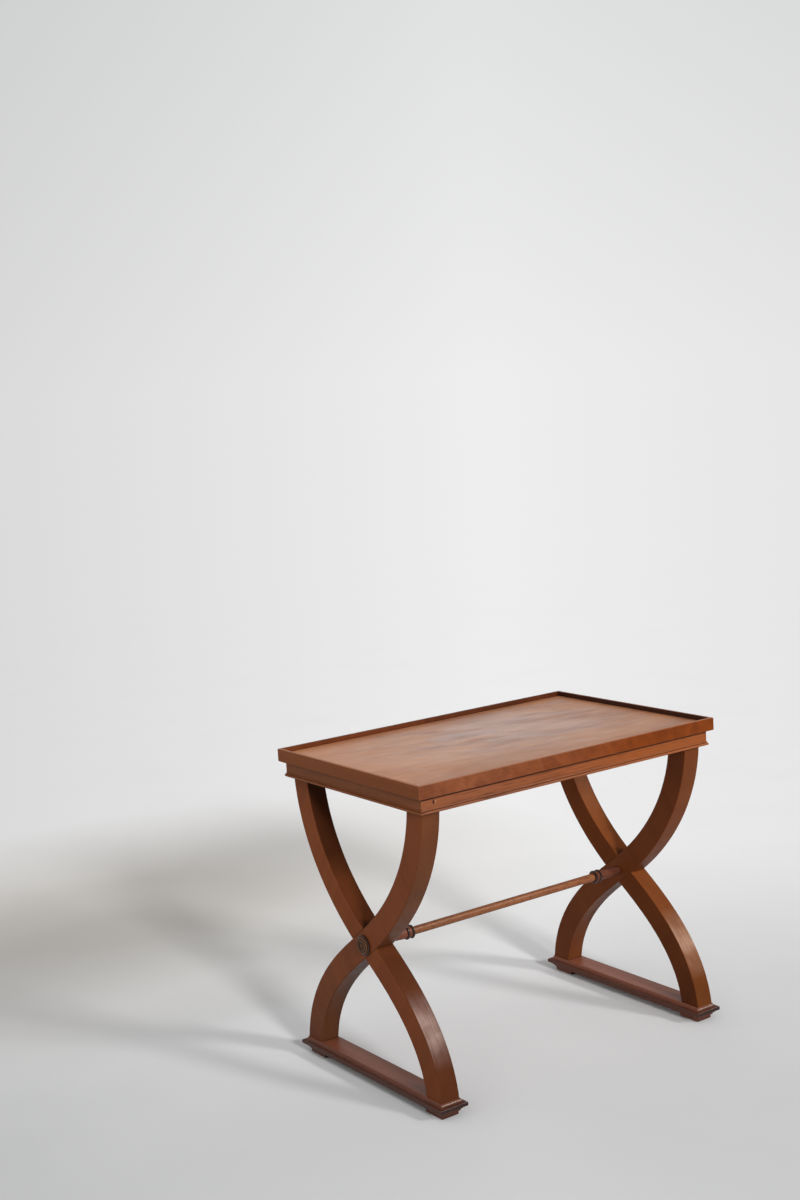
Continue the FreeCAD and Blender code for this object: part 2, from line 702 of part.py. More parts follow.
def build():
    tray_panel()
    for quarter, (side, (along, across)) in enumerate(SIDES.items()):
        turn = quarter * QUARTER_TURN
        tray_lip(side, along, across, turn)
        apron(side, along, across, turn)
        apron_moulding(side, along, across, turn)
    for end, sign in ENDS.items():
        tray_batten(end, sign)
        bearer(end, sign)
        leg(end, "back", sign, 0)
        leg(end, "front", sign, HALF_TURN)
        foot_rail(end, sign)
        stretcher_socket(end, sign)
        rosette(end, sign)
        for side, side_sign in LONG_SIDES.items():
            glue_block(end, sign, side, side_sign)
            foot_pad(end, sign, side, side_sign)
    stretcher_rod()
    screws()
    doc.recompute()


def check_and_write():
    for item in doc.Objects:
        if "Invalid" in item.State or "Error" in item.State:
            raise RuntimeError(f"{item.Label} failed to build")
    for node in sub_parts:
        if node.Shape.isNull() or not node.Shape.isValid():
            raise RuntimeError(f"{node.Label} has no valid solid")
    os.makedirs("parts", exist_ok=True)
    for node in sub_parts:
        node.Shape.exportStep(os.path.join("parts", f"{node.Label}.step"))


build()
check_and_write()
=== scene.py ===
import math
from contextlib import contextmanager
from dataclasses import dataclass

import bmesh
import bpy
from bpy.props import FloatProperty, FloatVectorProperty, PointerProperty
from mathutils import Matrix, Vector


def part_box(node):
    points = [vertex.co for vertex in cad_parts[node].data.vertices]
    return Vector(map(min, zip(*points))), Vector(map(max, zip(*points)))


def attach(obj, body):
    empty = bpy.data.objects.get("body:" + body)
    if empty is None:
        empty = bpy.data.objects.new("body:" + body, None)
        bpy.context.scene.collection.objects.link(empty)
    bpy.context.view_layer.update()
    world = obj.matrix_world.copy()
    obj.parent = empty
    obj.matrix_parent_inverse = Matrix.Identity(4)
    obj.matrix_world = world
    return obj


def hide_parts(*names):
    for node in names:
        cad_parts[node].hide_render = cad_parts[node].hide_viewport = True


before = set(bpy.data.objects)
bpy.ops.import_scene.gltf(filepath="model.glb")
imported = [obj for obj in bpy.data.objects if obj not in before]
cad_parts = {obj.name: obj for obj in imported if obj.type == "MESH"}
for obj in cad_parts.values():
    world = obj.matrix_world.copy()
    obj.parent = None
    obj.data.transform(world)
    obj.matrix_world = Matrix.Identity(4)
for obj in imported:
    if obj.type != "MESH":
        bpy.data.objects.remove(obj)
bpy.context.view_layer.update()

bl_info = {
    "name": "Tray table",
    "version": (1, 0, 0),
    "blender": (4, 5, 0),
    "location": "3D View > Sidebar > Tray table",
    "description": "Finishes a tray table with crossed, S-curved legs around its packed model",
    "category": "Object",
}

ENDS = {"left": -1, "right": 1}
LONG_SIDES = ("front", "back")
SHORT_SIDES = ("right", "left")
# The sides of the tray and its frame, each a quarter turn on from the last
SIDES = ("front", "right", "back", "left")
QUARTER_TURN = math.pi / 2
HALF_TURN = math.pi
FULL_TURN = 2 * math.pi
X_AXIS = Vector((1, 0, 0))
Y_AXIS = Vector((0, 1, 0))
WELD = 0.00001
ARC_STEP = math.radians(6)
TURNING_STEPS = 72
LEG_STEPS = 36
LEG_HALVINGS = 40
SMOOTH_ANGLE = math.radians(35)
ARRIS_ANGLE = math.radians(40)
ARRIS_SEGMENTS = 2
RIM_SEGMENTS = 3

# Grain directions, as turns of the grain that runs along X
ALONG_X = (0, 0, 0)
ALONG_Y = (0, 0, QUARTER_TURN)
ALONG_Z = (0, QUARTER_TURN, 0)
GRAIN = {"front": ALONG_X, "back": ALONG_X, "left": ALONG_Y, "right": ALONG_Y}
STREAK_SCALE = 380
PORE_SCALE = 900
WORN_ARRIS = 0.0015
CORNER_SHADE_REACH = 0.006
GRAIN_DEPTH = 0.0004
# The middle of a noise's range, where most of it lies
NOISE_RANGE = (0.3, 0.7)

# Where the marks, the painted shade and the painted highlights on the wood and the floor begin and are full, in
# metres
TONE_CHANGE = (-0.2, 0.15)
SHADOW_LINE_DEPTHS = (0.0062, 0.0046)
KNOT_INSET = 0.0255
KNOT_TO_FLECK = 0.0042
FOOT_SHADE_AND_DIRT = (0.3, 0.04)
HEAD_SHADOW = (0.33, 0.4)
HIGHLIGHT_BASE = (0.08, 0.14)
HIGHLIGHT_TOP = (0.2, 0.16)
FLOOR_DEPTHS = (-0.5, 1.2)
FLOOR_FADE = (2.0, 9.0)

BLACK = (0, 0, 0, 1)
WHITE = (1, 1, 1, 1)
DARK_GRAIN_AND_SHADOW = (0.022, 0.008, 0.005, 1)
DARK_KNOT = (0.03, 0.01, 0.006, 1)
PALE_FLECK = (0.6, 0.4, 0.25, 1)
LEG_SHADE_AND_DIRT = (0.02, 0.008, 0.004, 1)
LEG_HIGHLIGHT = (0.8, 0.5, 0.38, 1)
RAIL_SHADE_AND_STAIN = (0.02, 0.008, 0.006, 1)


def length(name, description, default):
    """A size in metres that the sidebar shows in the scene's unit."""
    return FloatProperty(name=name, description=description, default=default, unit="LENGTH", precision=5)


def angle(name, description, degrees):
    return FloatProperty(name=name, description=description, default=math.radians(degrees), unit="ROTATION")


def brightness(name, description, default):
    return FloatProperty(name=name, description=description, default=default)


def direction(name, description, *default):
    return FloatVectorProperty(name=name, description=description, default=default, subtype="DIRECTION")


def colour(name, description, red, green, blue):
    return FloatVectorProperty(
        name=name, description=description, default=(red, green, blue, 1), size=4, subtype="COLOR", min=0, max=1
    )


class TrayTableSizes(bpy.types.PropertyGroup):
    """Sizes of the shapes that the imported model's boxes don't give."""

    edge_round: length("Edge round", "Softened arrises of the boards", 0.0008)
    rim_round: length("Rim round", "Worn upper arris of the tray's edging", 0.0014)
    moulding_cove: length("Moulding cove", "Radius of the hollow under the apron", 0.002)
    moulding_quirk_height: length("Quirk height", "Groove over the bead", 0.001)
    moulding_quirk_depth: length("Quirk depth", "How far the groove goes in", 0.0015)
    moulding_bead: length("Moulding bead", "Radius of the bead under the apron", 0.0025)
    leg_width: length("Leg width", "Leg across its curve", 0.0436)
    leg_round: length("Leg round", "Eased long edges of the legs", 0.0016)
    crossing_height: length("Crossing height", "Floor to the crossing's middle", 0.2585)
    crossing_angle: angle("Crossing angle", "Slope of the legs at the crossing", 36)
    head_inset: length("Head inset", "Apron face to the leg head's outer edge", 0.0108)
    head_lean: angle("Head lean", "Lean of the leg at its head", 4.6)
    foot_inset: length("Foot inset", "Rail end to the leg foot's outer edge", 0.0097)
    foot_lean: angle("Foot lean", "Lean of the leg at its foot", 6.5)
    rail_cove: length("Rail cove", "Radius of the hollow round the foot rail's top", 0.0055)
    rail_fillet: length("Rail fillet", "Flat under the hollow", 0.001)
    rail_nose: length("Rail nose", "How far the rail's blunt nose stands out", 0.00375)
    rail_nose_round: length("Rail nose round", "Eased edges of the nose", 0.0018)
    rail_step_height: length("Rail step height", "Each step under the nose", 0.004)
    rail_step_depth: length("Rail step depth", "How far each step goes in", 0.003)
    pad_chamfer: length("Pad chamfer", "Chamfer under the foot pads", 0.0015)
    rod_radius: length("Rod radius", "Stretcher rod", 0.0075)
    socket_neck: length("Socket neck", "Radius of the socket at the leg", 0.00725)
    socket_shoulder: length("Socket shoulder", "Radius of the socket at its beads", 0.01)
    socket_taper: length("Socket taper", "Length of the tapered part", 0.051)
    socket_bead: length("Socket bead", "Radius of each black bead", 0.0025)
    socket_band: length("Socket band", "Band between the beads", 0.006)
    rosette_foot_bead: length("Rosette foot bead", "Lower bead of the rosette's edge", 0.00175)
    rosette_top_bead: length("Rosette top bead", "Upper bead of the rosette's edge", 0.0015)
    rosette_top: length("Rosette top", "Radius of the rosette's face", 0.0155)
    rosette_dish: length("Rosette dish", "Depth of the dished face", 0.0012)
    rosette_ring: length("Rosette ring", "Radius of the raised ring", 0.009)
    rosette_ring_bead: length("Rosette ring bead", "Half the width of the raised ring", 0.0016)
    rosette_button: length("Rosette button", "Radius of the domed middle", 0.004)
    rosette_button_height: length("Button height", "Height of the domed middle", 0.002)


class TrayTableFinishes(bpy.types.PropertyGroup):
    """Light and dark tones of each finish."""

    board_light: colour("Board light", "Pale streaks of the tray's board", 0.47, 0.2, 0.083)
    board_dark: colour("Board dark", "Dark streaks of the tray's board", 0.3, 0.112, 0.05)
    edging_light: colour("Edging light", "Pale figure of the tray's edging", 0.223, 0.068, 0.026)
    edging_dark: colour("Edging dark", "Dark figure of the tray's edging", 0.094, 0.026, 0.01)
    apron_light: colour("Apron light", "Pale grain of the apron", 0.275, 0.092, 0.039)
    apron_dark: colour("Apron dark", "Dark grain of the apron", 0.147, 0.044, 0.0175)
    leg_light: colour("Leg light", "Pale grain of the legs", 0.25, 0.066, 0.018)
    leg_dark: colour("Leg dark", "Dark grain of the legs", 0.17, 0.043, 0.0115)
    rail_light: colour("Rail light", "Pale grain of the foot rails", 0.23, 0.072, 0.036)
    rail_dark: colour("Rail dark", "Dark grain of the foot rails", 0.15, 0.044, 0.022)
    rod_light: colour("Rod light", "Pale grain of the rod", 0.225, 0.088, 0.037)
    rod_dark: colour("Rod dark", "Dark flecks of the rod", 0.108, 0.038, 0.017)
    turned_light: colour("Turned light", "Pale grain of the sockets", 0.16, 0.054, 0.031)
    turned_dark: colour("Turned dark", "Dark grain of the sockets", 0.085, 0.027, 0.016)
    rosette_light: colour("Rosette light", "Pale grain of the rosettes", 0.13, 0.058, 0.028)
    rosette_dark: colour("Rosette dark", "Dark grain of the rosettes", 0.08, 0.033, 0.016)
    black_bead: colour("Black bead", "Ebonised beads", 0.022, 0.011, 0.008)
    inner_light: colour("Inner light", "Pale grain of the unseen wood", 0.46, 0.27, 0.14)
    inner_dark: colour("Inner dark", "Dark grain of the unseen wood", 0.31, 0.16, 0.08)
    steel: colour("Steel", "Screws", 0.42, 0.41, 0.39)


class TrayTableStudio(bpy.types.PropertyGroup):
    """Camera, lights and floor. Each light's direction is from the table towards it."""

    camera_place: FloatVectorProperty(
        name="Camera place", description="Where the camera stands", default=(-1.88287, -2.34965, 1.23167),
        subtype="TRANSLATION", unit="LENGTH"
    )
    camera_turn: FloatVectorProperty(
        name="Camera turn", description="How the camera is turned",
        default=(math.radians(82.507), math.radians(3.384), math.radians(-36.038)), subtype="EULER"
    )
    camera_lens: FloatProperty(name="Lens", description="Focal length", default=50, unit="CAMERA")
    key_direction: direction("Key direction", "Where the main light is", 0.36, -0.84, 0.41)
    key_strength: brightness("Key strength", "Main light", 1.6)
    key_width: angle("Key width", "How wide the main light looks from the table", 9)
    soft_direction: direction("Soft direction", "Where the second light is", -0.15, -0.92, 0.36)
    soft_strength: brightness("Soft strength", "Second light", 2.3)
    soft_width: angle("Soft width", "How wide the second light looks from the table", 9)
    window_direction: direction("Window direction", "Where the high light is", 0.565, -0.59, 0.575)
    window_strength: brightness("Window strength", "High light that the lacquer mirrors", 3.0)
    window_width: angle("Window width", "How wide the high light looks from the table", 12)
    window_tint: colour("Window tint", "Warm tone of the high light", 1, 0.82, 0.7)
    sky_low: brightness("Sky low", "Even light from the sides", 0.2)
    sky_high: brightness("Sky high", "Even light from overhead", 0.38)
    sky_left: brightness("Sky left", "More even light from the left", 1.0)
    sky_back: brightness("Sky back", "More even light from behind", 0.4)
    background: colour("Background", "What the camera sees past the floor", 0.85, 0.85, 0.85)
    background_top: colour("Background top", "The same, higher up", 0.71, 0.715, 0.72)
    floor_near: colour("Floor near", "The pale floor in front of the table", 0.65, 0.655, 0.66)
    floor_far: colour("Floor far", "The pale floor behind the table", 0.88, 0.88, 0.88)
    # A painted shadow on the floor behind the table's left end
    floor_grey: colour("Floor grey", "Tint of the greyer floor behind the table's left end", 0.79, 0.76, 0.72)
    floor_size: length("Floor size", "Side of the floor", 60)


def sizes():
    return bpy.context.scene.tray_table_sizes


def finishes():
    return bpy.context.scene.tray_table_finishes


def studio():
    return bpy.context.scene.tray_table_studio


def middle_of(node):
    """The middle of a CAD node's box."""
    low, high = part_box(node)
    return (low + high) / 2


def deselect():
    bpy.ops.object.select_all(action="DESELECT")


def pick(piece):
    """Makes one piece the only selected and active one."""
    deselect()
    piece.select_set(True)
    bpy.context.view_layer.objects.active = piece


@contextmanager
def editing(piece, select="DESELECT"):
    """Edit mode on one piece, with all or nothing of it selected."""
    pick(piece)
    bpy.ops.object.mode_set(mode="EDIT")
    bpy.ops.mesh.select_mode(type="VERT")
    bpy.ops.mesh.select_all(action=select)
    yield bmesh.from_edit_mesh(piece.data)
    bpy.ops.object.mode_set(mode="OBJECT")


def bevel_edges(piece, width, segments, chosen):
    """Rounds the edges that a test picks."""
    with editing(piece) as mesh:
        bpy.ops.mesh.select_mode(type="EDGE")
        for edge in mesh.edges:
            edge.select_set(chosen(edge))
        mesh.select_flush_mode()
        bpy.ops.mesh.bevel(offset=width, segments=segments, profile=0.5, affect="EDGES")


def modify(piece, kind, **settings):
    """Adds a modifier to a piece, sets it and applies it."""
    pick(piece)
    bpy.ops.object.modifier_add(type=kind)
    modifier = piece.modifiers[-1]
    for key, value in settings.items():
        setattr(modifier, key, value)
    bpy.ops.object.modifier_apply(modifier=modifier.name)


def soften(piece, width):
    """Rounds every arris."""
    modify(piece, "BEVEL", width=width, segments=ARRIS_SEGMENTS, limit_method="ANGLE", angle_limit=ARRIS_ANGLE)


def combine(piece, other, operation):
    """Cuts a piece by another, or keeps what both share, and takes the other away."""
    modify(piece, "BOOLEAN", operation=operation, solver="EXACT", object=other)
    discard(other)


def smooth(piece):
    """Smooth shading up to an angle, with large flat faces kept flat beside their rounded arrises."""
    pick(piece)
    bpy.ops.object.shade_smooth_by_angle(angle=SMOOTH_ANGLE)
    modify(piece, "WEIGHTED_NORMAL", keep_sharp=True)


def new_piece(name):
    """Names the primitive that was just added and puts its place into its mesh."""
    piece = bpy.context.object
    piece.name = name
    bpy.ops.object.transform_apply(location=True, rotation=True, scale=True)
    return piece


def outline(name, points, plane):
    """A line drawn point by point, where plane maps (u, v) to a place.

    A straight run is extruded to its end (u, v). An arc is spun to its end, given as
    (u, v, centre u, centre v, turn).
    """
    normal = (plane(1, 0) - plane(0, 0)).cross(plane(0, 1) - plane(0, 0))
    deselect()
    bpy.ops.mesh.primitive_plane_add(size=WELD, location=plane(*points[0][:2]))
    piece = new_piece(name)
    with editing(piece, "SELECT"):
        bpy.ops.mesh.merge(type="CENTER")
        for before, point in zip(points, points[1:]):
            u, v, *arc = point
            if not arc:
                run = plane(u, v) - plane(*before[:2])
                bpy.ops.mesh.extrude_region_move(TRANSFORM_OT_translate={"value": run})
                continue
            centre_u, centre_v, turn = arc
            steps = max(2, math.ceil(abs(turn) / ARC_STEP))
            bpy.ops.mesh.spin(steps=steps, angle=-turn, center=plane(centre_u, centre_v), axis=normal)
        bpy.ops.mesh.select_all(action="SELECT")
        bpy.ops.mesh.remove_doubles(threshold=WELD)
    return piece


def prism(name, points, plane, depth):
    """A closed outline, filled and drawn out along a vector that is centred on the outline's plane."""
    piece = outline(name, points, plane)
    with editing(piece, "SELECT"):
        bpy.ops.mesh.edge_face_add()
        bpy.ops.transform.translate(value=-depth / 2)
        bpy.ops.mesh.extrude_region_move(TRANSFORM_OT_translate={"value": depth})
        bpy.ops.mesh.select_all(action="SELECT")
        bpy.ops.mesh.normals_make_consistent(inside=False)
    return piece


def turned(name, points, plane):
    """An outline from axis to axis, spun round the line through the plane's origin along u, and smoothed."""
    piece = outline(name, points, plane)
    axis = plane(1, 0) - plane(0, 0)
    with editing(piece, "SELECT"):
        bpy.ops.mesh.spin(
            steps=TURNING_STEPS, angle=FULL_TURN, center=plane(0, 0), axis=axis, use_auto_merge=True
        )
        bpy.ops.mesh.select_all(action="SELECT")
        bpy.ops.mesh.remove_doubles(threshold=WELD)
        bpy.ops.mesh.normals_make_consistent(inside=False)
    smooth(piece)
    return piece


def copy_of(piece, name, place):
    """A copy with its own mesh, its place in the mesh."""
    copy = bpy.data.objects.new(name, piece.data.copy())
    copy.data.name = name
    copy.data.transform(place)
    bpy.context.scene.collection.objects.link(copy)
    return copy


def discard(*models):
    """Takes away the models that pieces were copied from."""
    for model in dict.fromkeys(models):
        bpy.data.objects.remove(model)


def set_material(piece, material):
    piece.data.materials.clear()
    piece.data.materials.append(material)


def finish_piece(piece, material, body, slot, *nodes):
    """Gives a piece its finish and body and lets it stand for CAD nodes."""
    set_material(piece, material)
    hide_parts(*nodes)
    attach(piece, body)


class Finish:
    """A material, or a world, whose nodes are added one by one."""

    def __init__(self, name, world=False):
        self.material = bpy.data.worlds.new(name) if world else bpy.data.materials.new(name)
        self.material.use_nodes = True
        self.tree = self.material.node_tree
        self.shader = self.tree.nodes.get("Principled BSDF")

    def feed(self, socket, value):
        """Links a socket to another, or sets it."""
        if isinstance(value, bpy.types.NodeSocket):
            self.tree.links.new(value, socket)
        else:
            socket.default_value = value

    def fill(self, node, inputs):
        """Feeds a node's inputs by name, with _ for a space."""
        for key, value in inputs.items():
            self.feed(node.inputs[key.replace("_", " ")], value)

    def node(self, kind, settings=None, **inputs):
        """A node with settings by attribute and inputs by name."""
        made = self.tree.nodes.new(kind)
        for key, value in (settings or {}).items():
            setattr(made, key, value)
        self.fill(made, inputs)
        return made

    def shade(self, **inputs):
        """Feeds the shader's own inputs."""
        self.fill(self.shader, inputs)

    def blend(self, factor, first, second, output):
        """Sends a mix of two shaders to the output."""
        both = self.node("ShaderNodeMixShader", Fac=factor)
        self.feed(both.inputs[1], first)
        self.feed(both.inputs[2], second)
        self.feed(self.tree.nodes[output].inputs["Surface"], both.outputs["Shader"])

    def math(self, operation, first, second=0.0, clamp=False):
        made = self.node("ShaderNodeMath", {"operation": operation, "use_clamp": clamp})
        self.feed(made.inputs[0], first)
        self.feed(made.inputs[1], second)
        return made.outputs[0]

    def times(self, first, second):
        return self.math("MULTIPLY", first, second)

    def plus(self, first, second, clamp=False):
        return self.math("ADD", first, second, clamp)

    def vectors(self, operation, *vectors):
        """The outputs of a vector operation."""
        made = self.node("ShaderNodeVectorMath", {"operation": operation})
        for socket, vector in zip(made.inputs, vectors):
            self.feed(socket, vector)
        return made.outputs

    def stretch(self, value, low, high, to_low=0.0, to_high=1.0):
        """A value's range mapped to another, clamped."""
        made = self.node(
            "ShaderNodeMapRange", Value=value, From_Min=low, From_Max=high, To_Min=to_low, To_Max=to_high
        )
        return made.outputs["Result"]

    def mix(self, factor, first, second, blend="MIX"):
        """A mix of two colours."""
        settings = {"data_type": "RGBA", "blend_type": blend}
        return self.node("ShaderNodeMix", settings, Factor=factor, A=first, B=second).outputs["Result"]

    def tinted(self, factor, surface, factors):
        """A colour whose channels are multiplied, as far as a mask says."""
        return self.mix(factor, surface, self.mix(1, surface, (*factors, 1), "MULTIPLY"))

    def mapped(self, vector, scale=(1, 1, 1), turn=(0, 0, 0), place=(0, 0, 0)):
        made = self.node("ShaderNodeMapping", Vector=vector, Scale=scale, Rotation=turn, Location=place)
        return made.outputs["Vector"]

    def noise(self, vector, scale, detail=3.0, roughness=0.5, distortion=0.0):
        made = self.node(
            "ShaderNodeTexNoise", Vector=vector, Scale=scale, Detail=detail, Roughness=roughness,
            Distortion=distortion
        )
        return made.outputs["Fac"]

    def place(self):
        """Where a point is, in the table's own frame."""
        return self.node("ShaderNodeTexCoord").outputs["Object"]

    def along(self, vector, axis):
        """One axis of a vector."""
        return self.node("ShaderNodeSeparateXYZ", Vector=vector).outputs[axis]

    def normal(self):
        return self.node("ShaderNodeNewGeometry").outputs["Normal"]

    def facing(self, axis):
        """How far the surface faces along an axis, from -1 to 1."""
        return self.along(self.normal(), axis)


@dataclass
class Look:
    """How a wood is cut and finished. The grain runs along X before the turn."""

    turn: tuple = ALONG_X
    seed: float = 0.0
    tint: tuple = (1.0, 1.0, 1.0)
    drift_scale: float = 16.0
    drift_draw: float = 0.06
    streaks: float = 0.25
    figure: float = 0.0
    figure_scale: float = 30.0
    fleck: float = 0.3
    wear: float = 0.25
    # How strongly painted shade darkens corners and creases
    wax: float = 0.6
    roughness: float = 0.42
    gloss: float = 0.15
    relief: float = 0.12
    # The tint of surfaces that don't face along X: painted shade and sheen on the legs' curved sides
    sides: tuple = ()
    # A function of the finish, the place and the colour so far that gives the new colour
    paint: object = None


def toned(tone, factors):
    """A colour multiplied channel by channel, or by one number."""
    if isinstance(factors, float):
        factors = (factors, factors, factors)
    return [min(1, channel * factor) for channel, factor in zip(tone, factors)] + [1]


def wood(name, light, dark, look):
    """Lacquered wood: drifting tone, fine streaks along the grain, figure across it, dark pores, worn arrises,
    painted shade in the corners and, where a look asks for it, painted shade and sheen on the sides.
    """
    light = toned(light, look.tint)
    dark = toned(dark, look.tint)
    finish = Finish(name)
    place = finish.place()
    grain = finish.mapped(place, turn=look.turn, place=(look.seed, look.seed, look.seed))
    drawn = finish.mapped(grain, scale=(look.drift_draw, 1, 1))
    across = finish.mapped(finish.mapped(grain, turn=(0, 0.5, 0.5)), scale=(1, 0.45, 0.45))
    patterns = (
        finish.noise(drawn, look.drift_scale, detail=4, roughness=0.55, distortion=0.6),
        finish.noise(finish.mapped(grain, scale=(0.02, 1, 1)), STREAK_SCALE, detail=5, roughness=0.65),
        finish.noise(across, look.figure_scale, roughness=0.55, distortion=1.0),
    )
    drift, streaks, figure = (finish.stretch(pattern, *NOISE_RANGE) for pattern in patterns)
    tone = finish.times(drift, 1 - look.streaks - look.figure)
    tone = finish.plus(tone, finish.times(streaks, look.streaks))
    tone = finish.plus(tone, finish.times(figure, look.figure), clamp=True)
    surface = finish.mix(tone, dark, light)
    pores = finish.noise(finish.mapped(grain, scale=(0.05, 1, 1)), PORE_SCALE, detail=2)
    pores = finish.stretch(pores, 0.56, 0.7)
    surface = finish.mix(finish.times(pores, look.fleck), surface, toned(dark, 0.5))
    if look.paint:
        surface = look.paint(finish, place, surface)
    # Painted shade and sheen: the sides turned away from X get their own tint.
    if look.sides:
        turned_away = finish.stretch(finish.math("ABSOLUTE", finish.facing("X")), 0.97, 0.7)
        surface = finish.tinted(turned_away, surface, look.sides)
    rounded = finish.node("ShaderNodeBevel", {"samples": 4}, Radius=WORN_ARRIS).outputs["Normal"]
    arris = finish.stretch(finish.vectors("DOT_PRODUCT", rounded, finish.normal())["Value"], 0.99, 0.8)
    worn = finish.times(arris, finish.stretch(finish.noise(place, scale=70), 0.4, 0.6))
    surface = finish.mix(finish.times(worn, look.wear), surface, toned(light, 1.5))
    # Painted shade: ambient occlusion darkens the corners and creases.
    corner = finish.node("ShaderNodeAmbientOcclusion", {"samples": 6}, Distance=CORNER_SHADE_REACH).outputs["AO"]
    waxed = finish.times(finish.stretch(corner, 0.8, 0.3), look.wax)
    surface = finish.mix(waxed, surface, toned(dark, (0.15, 0.12, 0.12)))
    satin = finish.noise(drawn, scale=60, detail=4)
    satin = finish.stretch(satin, 0.25, 0.75, look.roughness - 0.07, look.roughness + 0.09)
    height = finish.math("SUBTRACT", finish.times(streaks, 0.6), finish.times(pores, 0.6))
    relief = finish.node("ShaderNodeBump", Strength=look.relief, Distance=GRAIN_DEPTH, Height=height)
    finish.shade(
        Base_Color=surface, Roughness=satin, Specular_IOR_Level=look.gloss, Normal=relief.outputs["Normal"]
    )
    return finish.material


def spot(finish, place, centre, radii, inner=0.5):
    """1 in the inner part of an ellipsoid about a centre, falling to 0 at its skin."""
    offset = finish.mapped(
        place, scale=[1 / radius for radius in radii],
        place=[-value / radius for value, radius in zip(centre, radii)],
    )
    return finish.stretch(finish.vectors("LENGTH", offset)["Value"], 1, inner)


def changed_to_right(finish, place, surface, factors):
    """Wood whose tone changes from the left part of the table to the right one."""
    return finish.tinted(finish.stretch(finish.along(place, "X"), *TONE_CHANGE), surface, factors)


def seen_rays(finish):
    """1 for the rays that show a surface to the camera, straight or by reflection."""
    ray = finish.node("ShaderNodeLightPath").outputs
    mirrored = finish.plus(ray["Is Glossy Ray"], ray["Is Transmission Ray"])
    return finish.plus(ray["Is Camera Ray"], mirrored, clamp=True)


def side_measures(node, side):
    """Half the length of a strip on one side, its outer and inner distance from the middle, base and top."""
    low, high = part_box(node)
    along, across = (0, 1) if side in LONG_SIDES else (1, 0)
    inner, outer = sorted((abs(low[across]), abs(high[across])))
    return high[along], outer, inner, low.z, high.z


def side_strips(node, section, bevel=None):
    """Models of strips with mitred ends by side, all in front: one for both long sides and one for both short ones.

    The section's points are (distance from the middle, height).
    """
    strips = {}
    for sides in (LONG_SIDES, SHORT_SIDES):
        half, *measures = side_measures(f"{node}_{sides[0]}", sides[0])
        outer = measures[0]
        strip = prism(
            "strip_model", section(sides[0], *measures), lambda out, up: Vector((0, -out, up)),
            X_AXIS * 2 * (half + outer)
        )
        for sign in ENDS.values():
            with editing(strip, "SELECT"):
                bpy.ops.mesh.bisect(
                    plane_co=(sign * half, -outer, 0), plane_no=(sign, 1, 0), use_fill=True, clear_outer=True
                )
        if bevel:
            bevel(strip, *measures)
        smooth(strip)
        strips |= dict.fromkeys(sides, strip)
    return strips


def copy_to_side(strip, name, side):
    """A copy of a strip's model, turned to its side of the table."""
    return copy_of(strip, f"{name}_{side}", Matrix.Rotation(SIDES.index(side) * QUARTER_TURN, 4, "Z"))


def board_section(side, outer, inner, base, top):
    """A plain board on edge."""
    return [(outer, base), (outer, top), (inner, top), (inner, base), (outer, base)]


def lengthwise(edge):
    """True for an edge along X."""
    run = edge.verts[1].co - edge.verts[0].co
    return abs(run.y) < WELD and abs(run.z) < WELD


